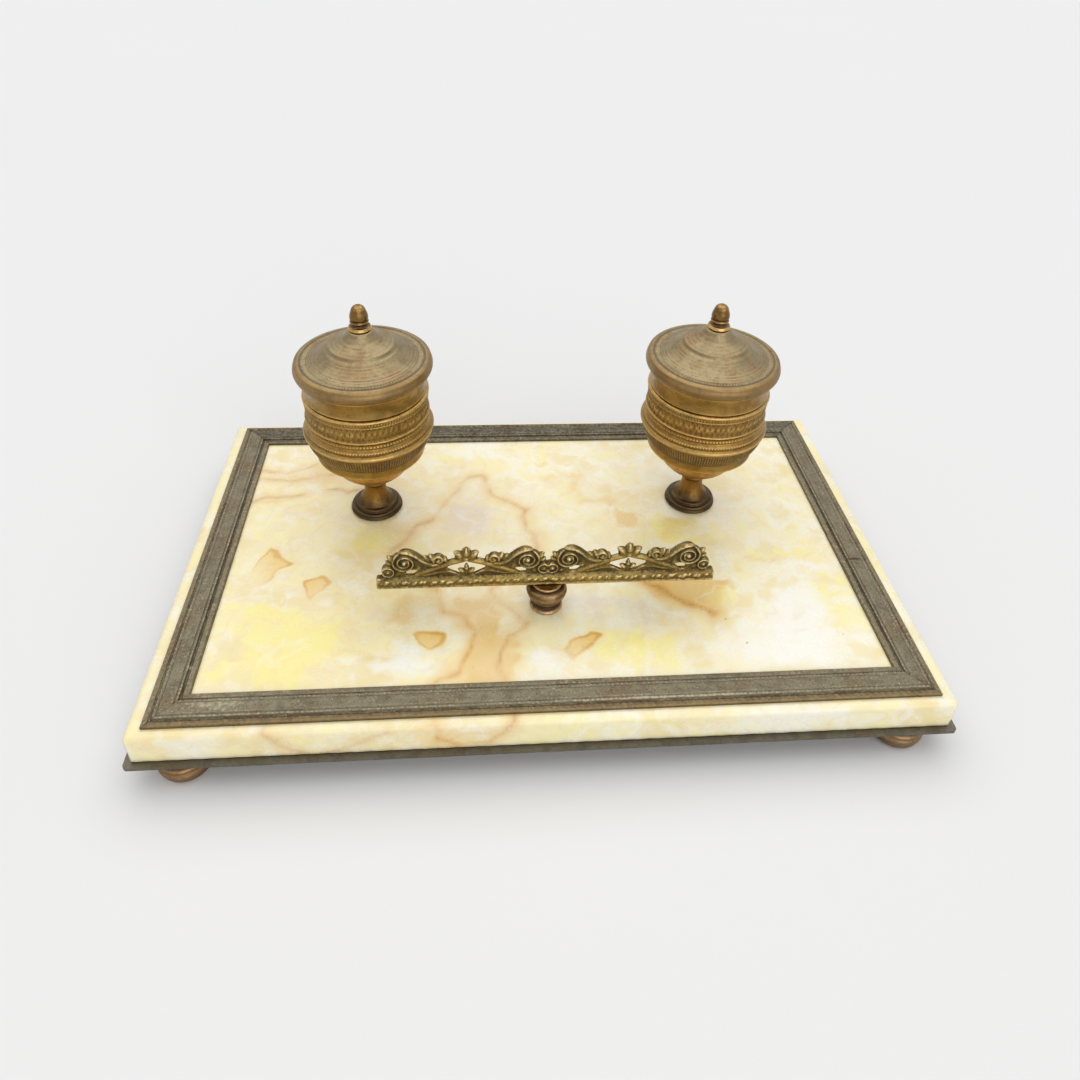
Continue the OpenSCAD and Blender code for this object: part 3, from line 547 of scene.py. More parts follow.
def onyx_slab(cell=1.25, corner=1.6, top_round=2.0, bevel=0.8, rolled_down=1.2):
    """Top: a grid of x and y whose outer rows roll down a quarter circle, z = top - R + sqrt(R^2 - (R - d)^2) at
    distance d from the edge, with the plan's corners rounded. Sides: the grid's rim carried down. Below: one flat
    face."""
    half = slab_high[:2]
    rolled = top_round * (1 - np.cos(np.linspace(0, math.pi / 2, 7)))
    lines = []
    for h in half:
        inner = np.linspace(-h + 2 * top_round, h - 2 * top_round, int((2 * h - 4 * top_round) / cell) + 2)
        lines.append(np.concatenate([-h + rolled, [-h + 1.5 * top_round], inner, [h - 1.5 * top_round],
                                     (h - rolled)[::-1]]))
    x, y = np.meshgrid(lines[0], lines[1], indexing="ij")
    # outside a corner's own square circle the point is drawn in to the circle
    ax, ay = np.abs(x) - (half[0] - corner), np.abs(y) - (half[1] - corner)
    out = np.where((ax > 0) & (ay > 0), np.maximum(1, np.hypot(ax, ay) / np.maximum(np.maximum(ax, ay), 1e-9)), 1)
    x = np.where((ax > 0) & (ay > 0), np.sign(x) * (half[0] - corner + ax / out), x)
    y = np.where((ax > 0) & (ay > 0), np.sign(y) * (half[1] - corner + ay / out), y)
    ax, ay = np.abs(x) - (half[0] - corner), np.abs(y) - (half[1] - corner)
    inset = np.where((ax > 0) & (ay > 0), corner - np.hypot(ax, ay), np.minimum(-ax, -ay) + corner)
    inset = np.clip(inset, 0, top_round)
    z = slab_top - top_round + np.sqrt(np.clip(top_round ** 2 - (top_round - inset) ** 2, 0, None))
    east, north = len(lines[0]) - 1, len(lines[1]) - 1
    rim = np.concatenate([[(i, 0) for i in range(east + 1)], [(east, j) for j in range(1, north + 1)],
                          [(i, north) for i in range(east - 1, -1, -1)], [(0, j) for j in range(north - 1, 0, -1)]])
    levels = np.concatenate([np.linspace(slab_top - top_round, slab_low[2] + bevel, 9)[1:], [slab_low[2]]])
    index = np.arange(x.size).reshape(x.shape)
    points = [np.stack([x, y, z], -1).reshape(-1, 3)]
    ring = index[rim[:, 0], rim[:, 1]]
    edge = points[0][ring]
    faces = [np.stack([index[:-1, :-1], index[1:, :-1], index[1:, 1:], index[:-1, 1:]], -1).reshape(-1, 4).tolist()]
    # worn, slightly uneven sides: the rim moves in by a few hundredths of a millimetre
    for k, level in enumerate(levels):
        row = edge.copy()
        row[:, 2] = level
        pull = 0.05 + 0.05 * np.sin(edge[:, 0] * 0.9 + edge[:, 1] * 1.3 + level)
        pull = pull + (bevel if k == len(levels) - 1 else 0)
        row[:, :2] -= np.sign(row[:, :2]) * pull[:, None] * (np.abs(row[:, :2]) > half - corner)
        base = x.size + k * len(ring)
        below = np.arange(len(ring)) + base
        above = ring if k == 0 else below - len(ring)
        faces.append(np.stack([above, below, np.roll(below, -1), np.roll(above, -1)], -1).tolist())
        points.append(row)
    faces.append([below[::-1].tolist()])
    points = np.vstack(points)
    down = slab_top - points[:, 2]
    # the pattern runs on down the sides as if the stone were unfolded there
    plan = points[:, :2]
    side_x, side_y = (np.sign(plan) * (half - np.abs(plan) < 1)).T
    notes = stone_notes(plan[:, 0] + side_x * down + 0.3 * down, plan[:, 1] + side_y * down)
    # the slab's left and right sides are marked for a darker, greyer tone: painted shade on them
    notes["flank_shade"] = between(down, rolled_down, 40, 0.4) * (side_x != 0)
    # distance to the frame's outer or inner line on top, and to the plate on the sides, where painted contact shade
    # darkens the stone
    frame = box_mm("frame_rail_front")[0][:2]
    rings = [np.abs(np.max(np.abs(plan) + corner_xy, axis=1)) for corner_xy in (frame, frame + RAIL_WIDTH)]
    notes["rim"] = np.where(down < rolled_down, np.minimum(*rings), slab_high[2] - slab_low[2] - down)
    return mesh_object("onyx_slab_stone", points, sum(faces, []), sharp=50, notes=notes)


def onyx_stone():
    """Cream onyx: milk-white and rose-grey clouds, yellow and tan patches, fine growth bands, amber hearts with
    darker rims, thin rusty veins with a wide pale amber glow, and a few dark specks. Painted shade darkens the left
    and right sides, and painted contact shade runs along the frame's lines and low on the sides."""
    finish = Finish("onyx", IOR=1.5, Specular_IOR_Level=0.45, Coat_Weight=0.35, Coat_Roughness=0.12,
                    Subsurface_Weight=0.12, Subsurface_Scale=0.002)
    spot = finish.place()
    part = finish.along(spot)
    broad = finish.cloud(finish.swirl(spot, 22.0, 9.0), 30.0, 3.0, 0.5)
    cloudy = finish.cloud(finish.swirl(spot + 91.0, 14.0, 7.0), 15.0, 3.0, 0.5)
    veil = finish.cloud(finish.swirl(spot + 17.0, 9.0, 4.0), 8.0, 3.0, 0.5)
    fine = finish.cloud(spot, 4.5, 3.0, 0.5)
    tiny = finish.cloud(spot, 1.1, 2.0)
    noted = {name: finish.noted(name) for name in ("peak_vein", "left_vein", "right_vein", "upper_lines", "heart",
                                                   "shade", "yellow", "tan", "rose", "milk", "specks", "rim",
                                                   "flank_shade")}
    colour = finish.mix(finish.step(broad, 0.32, 0.66), tone(249, 234, 188), tone(254, 248, 222))
    blur = (veil - 0.5) * 0.5 + (cloudy - 0.5) * 0.5
    # what says where, its value where the layer begins and where it is full, the layer's share, its colour
    for where, begins, full, share, hue in (
            (part[0] + (broad - 0.5) * 160.0, 70.0, -90.0, 0.55, tone(246, 227, 172)),
            (cloudy, 0.46, 0.62, 0.8, tone(254, 241, 184)),
            (cloudy, 0.50, 0.32, 0.75, tone(243, 224, 162)),
            (veil, 0.52, 0.64, 0.6, tone(252, 248, 232)),
            (noted["rose"] + blur, 0.1, 1.0, 0.75, tone(228, 213, 196)),
            (noted["yellow"] + (veil - 0.5) * 1.6, 0.1, 0.9, 0.85, tone(255, 241, 152)),
            (noted["milk"] + blur, 0.1, 1.0, 0.9, tone(254, 252, 240)),
            (noted["tan"] + blur * 1.3, 0.1, 0.9, 0.9, tone(240, 206, 134))):
        colour = finish.mix(finish.step(where, begins, full) * share, colour, hue)
    bands = finish.node("ShaderNodeMath", {"operation": "PINGPONG"}, {0: broad * 13.0 + veil * 0.8, 1: 1.0})
    colour = finish.mix(finish.step(bands, 0.35, 0.0) * finish.step(cloudy, 0.45, 0.65) * 0.16, colour,
                        tone(226, 190, 136))
    colour = finish.mix(finish.step(bands, 0.70, 1.0) * finish.step(cloudy, 0.6, 0.4) * 0.3, colour,
                        tone(254, 251, 240))
    shake = (fine - 0.5) * 2.0 + (veil - 0.5) * 3.0 + (tiny - 0.5) * 0.3
    heart, shade = noted["heart"] + shake * 0.4, noted["shade"]
    colour = finish.mix(finish.step(heart, 2.6, -1.0) * shade * 0.6, colour, tone(250, 224, 158))
    colour = finish.mix(finish.step(heart, 0.6, -1.0) * shade, colour, tone(243, 202, 106))
    colour = finish.mix(finish.step((heart + 0.5).size(), 1.1, 0.0) * finish.step(veil, 0.3, 0.55, 0.5, 1.0) * shade,
                        colour, tone(216, 160, 62))
    swell = finish.step(cloudy, 0.35, 0.65, 0.5, 1.15)
    # line, its half width in millimetres, its strength, the colours of its glow and of itself
    for name, width, strength, halo, rust in (
            ("peak_vein", 0.5, swell * 0.95, tone(243, 214, 156), tone(220, 176, 108)),
            ("left_vein", 0.5, swell, tone(244, 210, 144), tone(226, 174, 92)),
            ("right_vein", 0.5, 0.9, tone(238, 194, 112), tone(196, 136, 62)),
            ("upper_lines", 0.4, swell * 0.75, tone(236, 204, 146), tone(200, 156, 98))):
        distance = (noted[name] + shake * 0.35).size()
        for reach, share, hue in ((13, 0.8, halo), (4.5, 0.5, rust), (1.3, 0.45, tuple(c * 0.8 for c in rust))):
            colour = finish.mix(finish.step(distance, width * reach, 0.0) * share * strength, colour, hue)
    # painted shade on the slab's left and right sides
    colour = finish.mix(noted["flank_shade"] * 0.75, colour, tone(186, 180, 152))
    dot = finish.step(noted["specks"] + (tiny - 0.5) * 1.2, 0.8, 0.1)
    colour = finish.mix(dot * 0.6, colour, tone(120, 110, 90))
    # darker brown stone along the frame's lines and low on the sides: painted contact shade
    contact_shade = finish.step(noted["rim"] + (fine - 0.5) * 1.6, 1.1, 0.0)
    colour = finish.mix(contact_shade * 0.35, colour, tone(196, 176, 134))
    finish.feeds(Base_Color=colour, Roughness=finish.step(cloudy + (tiny - 0.5) * 0.4, 0.3, 0.7, 0.22, 0.34),
                 Normal=finish.bump(fine * 0.02 + tiny * 0.015 + finish.cloud(spot, 18.0, 1.0) * 0.25, 1.0))
    return finish.material


stone = onyx_stone()
dress(onyx_slab(), stone, "onyx", "base", "onyx_slab")


# ---- frame rails


# Marks of wear on the rails: along, across, reach along, reach across, strength
MARKS = {"frame_rail_right": [(-16.0, 6.4, 0.4, 2.4, -1.6)], "frame_rail_left": [(57.0, 9.6, 0.8, 0.6, 1.6)],
         "frame_rail_front": [(-108.0, 6.5, 10.0, 2.6, 0.5), (40.0, 3.4, 30.0, 0.8, 0.5)], "frame_rail_back": []}


def rail(name, node, length, turn_deg):
    """Moulding carried along a straight run with mitred ends: at share s of the way the point (y, z) of the section
    lies at x = (2 s - 1) (length / 2 - y), so that both ends follow the mitre. Stamped work is pushed out along the
    section's normal, by ridges across times waves along."""
    stations = [(0.05, 0), (0, 1.0), (0.35, 1.35), (1.7, 1.3), (2.05, 0.95), (2.5, 0.95), (2.9, 1.75), (3.6, 1.75),
                (3.75, 1.6), (3.95, 1.6), (4.1, 1.86), (8.1, 1.86), (8.25, 1.6), (8.45, 1.6), (8.6, 1.75), (9.2, 1.75),
                (9.55, 0.95), (9.95, 0.95), (10.25, 1.35), (11.7, 1.3), (12.1, 1.0), (12.2, 0)]
    outline = [(RAIL_WIDTH - a, b) for a, b in stations[::-1]]
    line = softened(evened(bowed(outline), 0.08), 1.3)
    line, normal, proud = gathered(line, 96)
    normal, proud = -normal, -proud
    line[:, 1] = np.clip(line[:, 1], 0, 1.95)
    count = int(length / 0.5)
    share = np.linspace(0, 1, count + 1)
    across = RAIL_WIDTH - line[:, :1]
    x = (2 * share - 1) * (length / 2 - across)

    def wave(period, shift=0.0, phase=0.0):
        return np.cos(2 * math.pi * (x + shift) / period + phase)

    # stamped work: pricked dots along the band, a beaded line to each side of it, a cut inner line, outer scales
    flat = between(across, 0.5, 11.8, 0.15)
    push = -0.16 * ridge(across, 6.1, 0.42) * np.clip(wave(4.6), 0, 1) ** 6
    for height, middle, width, period in ((0.10, 3.2, 0.3, 1.5), (0.10, 8.95, 0.3, 1.5), (0.09, 11.0, 0.45, 2.1)):
        push += height * ridge(across, middle, width) * wave(period)
    push += 0.10 * between(across, 0.7, 1.9, 0.15) * (wave(2.3, 0.5 * across) + 0.5 * wave(7.9, phase=1.0))
    push += 0.03 * np.sin(x * 0.37 + across * 1.7) * np.sin(x * 0.11 + 1.3)
    lined = between(across, 4.3, 5.6, 0.1) + between(across, 6.7, 8.0, 0.1)
    push += 0.045 * lined * np.cos(2 * math.pi * across / 0.62)
    scratch = patches(x, across, MARKS[node])
    push += 0.12 * np.minimum(scratch, 0)
    push *= flat
    push -= 0.12 * ridge(length / 2 - across - np.abs(x), 0, 0.5) * flat
    y = normal[:, :1] * push - across
    z = np.clip(line[:, 1:] + normal[:, 1:] * push, 0, 1.98)
    turn = math.radians(turn_deg)
    run = np.array([math.cos(turn), math.sin(turn)])
    inward = np.array([-math.sin(turn), math.cos(turn)])
    low, high = box_mm(node)
    edge = {0: low[1], 180: -high[1], 90: -high[0], 270: low[0]}[turn_deg]
    deep = edge - y
    grid = np.stack([run[0] * x + inward[0] * deep, run[1] * x + inward[1] * deep, slab_top + z + 0 * x], -1)
    # underside: the first and last rows lie on the slab, so closing the rows gives the flat bottom
    # the back rail's values are lowered as a whole, so it comes out darker: painted shade on the rail turned away from
    # the light
    wear_and_shade = np.clip(proud[:, None] / 0.35, -1, 1) * 0.8 + push / 0.12 * 0.3 + scratch - 0.65 * (turn_deg == 180)
    warm = (1.0 if turn_deg == 0 else 0.45) * between(across, -1.0, 2.2, 0.25)
    warm = warm + 0.25 * between(across, 10.6, 12.4, 0.2) + 0 * x
    return sheet_mesh(name, grid[:, ::-1], wear_and_shade[:, ::-1], rows_closed=True, columns_closed=False,
                      warm=warm[:, ::-1], capped=True)


for side, turn_deg in (("front", 0), ("right", 90), ("back", 180), ("left", 270)):
    low, high = box_mm(f"frame_rail_{side}")
    span = (high - low)[0 if side in ("front", "back") else 1]
    dress(rail(f"frame_rail_{side}_moulding", f"frame_rail_{side}", span, turn_deg), olive, "olive_bronze", "base",
          f"frame_rail_{side}")


# ---- feet


for fore in ("front", "back"):
    for side in ("left", "right"):
        node = f"foot_{fore}_{side}"
        low, high = box_mm(node)
        bun = [(0, 0), (5.9, 0, 0.8), (8.95, 3.6, 0.4), (8.6, 6.2, 0.35), (7.6, 7.7), (7.7, 8.3, 0.3), (7.4, 9.3),
               (7.0, 9.5), (7.1, high[2] - 0.1), (0, high[2] - 0.1)]
        piece = turned(f"{node}_turning", bun, (*((low + high) / 2)[:2], 0), 128, 60, closed=False, contrast=0.6)
        dress(piece, copper, "copper_brass", "base", node)


# ---- urns


# Each relief gives how far the surface is pushed out, and a mark that is added to its wear and painted shade. Heights
# are millimetres above the slab. Repeats round an urn: of the bulge's flutes and beads, of the small teeth, of the
# frieze and of the lid's milling.
FLUTES, BEADS, TEETH, FRIEZE, MILLING = 150, 116, 132, 36, 120


def bulge_relief(line, angle):
    """Fine flutes under the widest part, painted shade over the band under its overhang, and a row of small teeth
    above it.
    """
    z, a = line[:, 1:], angle[None, :]
    outside = line[:, :1] > 16.5
    flutes = between(z, 32.2, 40.2, 0.25) * outside
    cut = np.abs(np.sin(a * FLUTES / 2))
    teeth = between(z, 43.9, 44.7, 0.08) * outside
    rows = beads(a * BEADS / (2 * math.pi), z, 46.8, 0.6) * outside
    push = flutes * 0.28 * (cut - 0.75) + teeth * 0.12 * np.cos(a * TEETH) + rows * 0.42
    mark = flutes * (cut - 0.9) * 1.1 + rows * 0.6 + teeth * 0.3 * np.cos(a * TEETH)
    # the whole band under the widest part is darkened: painted shade under the overhang
    mark = mark - 0.5 * between(z, 30.0, 40.5, 0.5)
    return push, mark


def frieze_relief(line, angle):
    """Stamped band: crossing ribbons make lozenges with a small flower in each, under a row of teeth."""
    z, a = line[:, 1:], angle[None, :]
    outside = line[:, :1] > 22.4
    u = a * FRIEZE / (2 * math.pi)
    across = np.abs((u - np.floor(u)) - 0.5) * 2
    up = (z - 49.4) / 5.6
    ribbon = ridge(up, across, 0.13) + 0.8 * ridge(up, 1 - across, 0.10)
    cy = (up - 0.5) * 5.6
    (to_flower, way), (to_leaf, leaf_way) = [(np.hypot(cx, cy), np.arctan2(cy, cx))
                                             for cx in ((across - 1) * 2.05, across * 2.05)]
    flower = ridge(to_flower, 0.75 + 0.35 * np.cos(4 * way), 0.35) + ridge(to_flower, 0, 0.3)
    leaf = ridge(to_leaf, 0.9 + 0.3 * np.cos(3 * leaf_way), 0.3)
    band = between(z, 49.5, 54.9, 0.08) * outside
    teeth = between(z, 55.7, 56.6, 0.06) * outside
    stamp = np.clip(ribbon + flower + 0.7 * leaf, 0, 1.15)
    push = band * (0.34 * stamp - 0.26) + teeth * 0.16 * np.cos(a * TEETH)
    mark = band * (0.9 * stamp - 0.45) + teeth * 0.5 * np.cos(a * TEETH)
    return push, mark


def lid_relief(line, angle):
    """Milled ring near the edge, and fine ridges of turning on the slope."""
    r, z, a = line[:, :1], line[:, 1:], angle[None, :]
    above = z > 70.9
    ring = between(r, 20.9, 22.1, 0.1) * above
    turning = between(r, 13.4, 20.2, 0.3) * above * np.sin(2 * math.pi * r / 0.95)
    cone = between(r, 4.6, 11.2, 0.3) * above * np.sin(2 * math.pi * r / 1.4)
    push = ring * 0.13 * np.cos(a * MILLING) + 0.06 * turning + 0.04 * cone + 0 * a
    mark = ring * 0.6 * np.cos(a * MILLING) + 0.6 * turning + 0.35 * cone - ridge(r, 22.7, 0.5) * above + 0 * a
    return push, mark


def urn(side):
    """One urn: its foot, its cup in three pieces, its liner, and its lid with the finial. All turn about one axis,
    and their stations are radius and height from the slab's top."""
    centre = np.array([*urn_axis[side][:2], slab_top])

    def part(name, stations, around, rows, finish, slot, body, node, **ways):
        piece = turned(f"{side}_{name}", stations, centre, around, rows, **ways)
        dress(piece, finish, slot, body, f"{side}_{node}")

    part("urn_foot_turning",
         [(2.3, 0.02), (9.6, 0.02, 0.7), (9.9, 1.7, 0.35), (9.1, 2.9), (8.7, 2.75), (8.4, 3.3, 0.25), (7.7, 4.2),
          (7.3, 4.3, -1.0), (4.35, 12.2, -0.2), (4.9, 14.0), (5.2, 14.1, 0.3), (5.2, 15.0), (5.0, 15.2), (5.4, 16.2),
          (6.1, 17.0), (2.3, 17.0)],
         144, 96, brown, "brown_brass", "base", "urn_foot", warm=lambda r, z: between(z, 6.4, 30, 1.0), contrast=0.6)
    # the bowl's lower part is noted warm: painted light thrown up from the stone, as lighter, warmer gilt
    part("urn_bowl",
         [(2.3, 17.0), (6.2, 17.0, 0.35), (8.6, 18.4, 1.3), (16.1, 26.6), (16.2, 26.9), (16.75, 27.2, 0.25),
          (16.75, 28.4), (16.3, 28.7), (21.0, 30.5), (21.5, 45.0), (22.0, 58.2), (22.9, 58.9, -0.4),
          (23.0, 64.9, 0.15), (23.15, 66.2), (21.3, 66.2), (21.2, 60.3), (19.5, 60.3), (19.5, 36.3),
          (14.2, 28.8, -1.6), (5.4, 21.0), (2.3, 21.0)],
         192, 150, gilt, "gilt_brass", "base", "urn_cup", warm=lambda r, z: between(z, 10, 27.5, 0.5), contrast=0.8)
    part("urn_bulge",
         [(20.0, 30.0), (16.4, 28.8, 0.35), (17.6, 29.6, 0.15), (18.2, 30.4), (18.1, 30.7), (18.6, 31.2, 0.15),
          (19.1, 31.9, 1.0), (24.15, 40.4), (24.1, 40.7), (24.5, 41.2, 0.55), (24.35, 43.1), (23.9, 43.4),
          (23.9, 43.8), (24.0, 44.0), (24.0, 44.6), (23.85, 44.8), (23.45, 45.1), (23.4, 45.6), (23.15, 46.0),
          (23.15, 47.6), (23.4, 48.0), (22.0, 48.0), (21.2, 40.0)],
         900, 96, gilt, "gilt_brass", "base", "urn_cup", relief=bulge_relief, contrast=0.75)
    part("urn_frieze",
         [(21.6, 47.9), (22.7, 47.9), (22.75, 48.3), (23.4, 48.5, 0.2), (23.4, 49.2), (23.0, 49.4), (23.0, 55.0),
          (23.35, 55.2), (23.35, 55.5), (23.15, 55.7), (23.15, 56.6), (23.0, 56.8), (23.3, 57.0, 0.35), (23.3, 58.2),
          (22.9, 58.4), (21.6, 58.4)],
         864, 92, gilt, "gilt_brass", "base", "urn_cup", relief=frieze_relief, gap=0.08, contrast=0.7)
    part("ink_liner_glazed",
         [(0, 36.3), (16.0, 36.3, 0.87), (19.0, 39.3), (19.0, 60.3), (20.7, 60.3, 0.12), (20.7, 61.9),
          (18.0, 61.9, 0.25), (17.2, 61.2), (17.2, 40.2, -0.6), (15.1, 38.1), (0, 38.1)],
         128, 80, glaze, "white_glaze", f"{side}_liner", "ink_liner", closed=False, soft=2.0)
    part("lid_turning",
         [(19.5, 62.9), (20.8, 62.9), (20.8, 66.35), (24.0, 66.35, 0.1), (24.9, 67.0, 0.6), (25.1, 70.6, 0.35),
          (24.2, 71.75, 0.2), (23.0, 71.9), (22.6, 71.8), (22.2, 71.85), (20.9, 71.95), (20.7, 71.8), (20.3, 71.9),
          (20.2, 72.1, 0.1), (19.7, 72.3, -0.25), (13.7, 76.2), (13.3, 76.5), (12.7, 76.75), (12.3, 77.4, 0.25),
          (11.7, 78.15), (10.9, 78.3), (10.5, 78.6, -0.8), (4.8, 83.1), (4.2, 83.55), (1.7, 83.55), (1.7, 81.8),
          (4.4, 81.8, 0.5), (11.4, 76.5), (19.5, 69.9)],
         480, 196, lid_metal, "lid_brass", f"{side}_lid", "lid", relief=lid_relief, soft=2.4,
         warm=lambda r, z: between(r, 23.6, 40, 0.35), contrast=0.2)
    part("finial_turning",
         [(0, 83.6), (3.9, 83.6, 0.3), (4.1, 84.6, 0.2), (3.4, 85.1), (2.9, 85.5, -0.15), (2.9, 86.2),
          (3.35, 86.6, 0.1), (3.35, 87.1), (3.1, 87.4), (3.35, 88.0, 0.2), (2.75, 90.9, 0.75), (0, 93.2)],
         112, 72, finial_metal, "gilt_brass", f"{side}_lid", "finial", closed=False)


for side in ("left", "right"):
    urn(side)


# ---- pen rest


rest_y = (rest_low[1] + rest_high[1]) / 2
stem_centre = np.array([0.0, rest_y, slab_top])
stem = [(1.7, 0.02), (5.6, 0.02, 0.3), (5.8, 1.2), (5.3, 1.7), (4.9, 1.8, -0.1), (4.5, 2.6), (4.6, 3.5), (5.2, 3.7),
        (5.2, 4.0), (4.9, 4.2, 0.5), (7.1, 7.2, 0.35), (7.0, 9.0, 0.3), (5.6, 10.2), (5.0, 10.4), (5.2, 10.9, 0.15),
        (5.2, 11.9), (1.7, 11.9)]
dress(turned("pen_rest_stem_turning", stem, stem_centre, 144, 90), stem_metal, "brown_brass", "base", "pen_rest_stem")


HALF_REPEAT = 28.75  # half the length of one run of scrolls
TIP = 0.02           # least half width of a casting's rods and leaves


def tube_grid(path, width, depth, sides=12):
    """Tube along a path in the x-z plane: path(t) + width(t) cos a across it + depth(t) sin a along y."""
    way = np.gradient(path, axis=0)
    way /= np.linalg.norm(way, axis=1)[:, None]
    across = np.stack([-way[:, 1], way[:, 0]], 1)
    angle = np.arange(sides) * 2 * math.pi / sides
    flat = path[:, None] + across[:, None] * (width[:, None] * np.cos(angle))[..., None]
    return np.stack([flat[..., 0], depth[:, None] * np.sin(angle) + 0 * flat[..., 0], flat[..., 1]], -1)


def smooth_path(corners, count=40):
    """Curve through corners: a broken line with its points evened out and softened."""
    line = evened(np.array(corners, float), 0.15)
    line = softened(line, max(1.0, len(line) / 14))
    s = np.linspace(0, len(line) - 1, count)
    return np.stack([np.interp(s, np.arange(len(line)), line[:, k]) for k in (0, 1)], 1)


class Casting:
    """Closed shells gathered for one cast piece. Their paths lie in the plane of x and z."""

    def __init__(self):
        self.points, self.faces, self.count = [], [], 0

    def shell(self, grid):
        """A tube's grid, its ends closed by flat faces."""
        rows, columns = grid.shape[:2]
        index = np.arange(rows * columns).reshape(rows, columns) + self.count
        right = np.roll(index, -1, axis=1)
        self.faces += np.stack([index[:-1], right[:-1], right[1:], index[1:]], -1).reshape(-1, 4).tolist()
        self.faces += [index[0][::-1].tolist(), index[-1].tolist()]
        self.points.append(grid.reshape(-1, 3))
        self.count += rows * columns

    def rod(self, corners, width, depth, taper=0.25, count=28):
        """A rod through corners, thinner towards its end by the taper and rounded off by (1 - |2t - 1|^6)^0.5."""
        path = smooth_path(corners, count)
        t = np.linspace(0, 1, count)
        ends = (1 - np.abs(2 * t - 1) ** 6) ** 0.5
        self.shell(tube_grid(path, width * (1 - taper * t) * ends + TIP, depth * (0.8 + 0.2 * ends) * ends + TIP))

    def petal(self, start, end, width, depth):
        """A leaf from start to end: its half width is width sin(pi t)^0.7."""
        t = np.linspace(0, 1, 14)
        path = np.array(start)[None] + (np.array(end) - start)[None] * t[:, None]
        swell = np.sin(math.pi * t) ** 0.7
        self.shell(tube_grid(path, width * swell + TIP, depth * swell + TIP))

    def button(self, middle, radius, depth):
        """A round boss: half an ellipsoid to each side, its half width radius sin t."""
        t = np.linspace(0, math.pi, 12)
        path = np.array(middle)[None] + np.stack([-radius * np.cos(t), 0 * t], 1)
        self.shell(tube_grid(path, radius * np.sin(t) + TIP, depth * np.sin(t) + TIP, 16))

    def scroll(self, eye, outer, inner, turns, width, depth, start, hand):
        """A volute: the radius goes from outer to inner by t^0.85 while the angle makes its turns."""
        t = np.linspace(0, 1, int(36 * turns))
        angle = start + hand * 2 * math.pi * turns * t
        radius = outer + (inner - outer) * t ** 0.85
        path = np.array(eye)[None] + np.stack([radius * np.cos(angle), radius * np.sin(angle)], 1)
        ends = np.clip(np.minimum(t, 1 - t) * 14, 0, 1) ** 0.5
        self.shell(tube_grid(path, width * (1 - 0.35 * t) * ends + TIP, depth * ends + TIP))

    def plate(self, corners, half):
        """A flat plate of the given outline, half its thickness to each side of y = 0."""
        x, z = np.array(corners, float).T
        self.shell(np.stack([np.stack([x, np.full(len(x), y), z], -1) for y in (half, -half)]))

    def add(self, other, scale, shift):
        """Another casting's shells, scaled and then moved. A negative scale turns their faces over."""
        points = np.vstack(other.points) * scale + shift
        step = 1 if np.prod(scale) > 0 else -1
        self.faces += [[v + self.count for v in face[::step]] for face in other.faces]
        self.points.append(points)
        self.count += len(points)


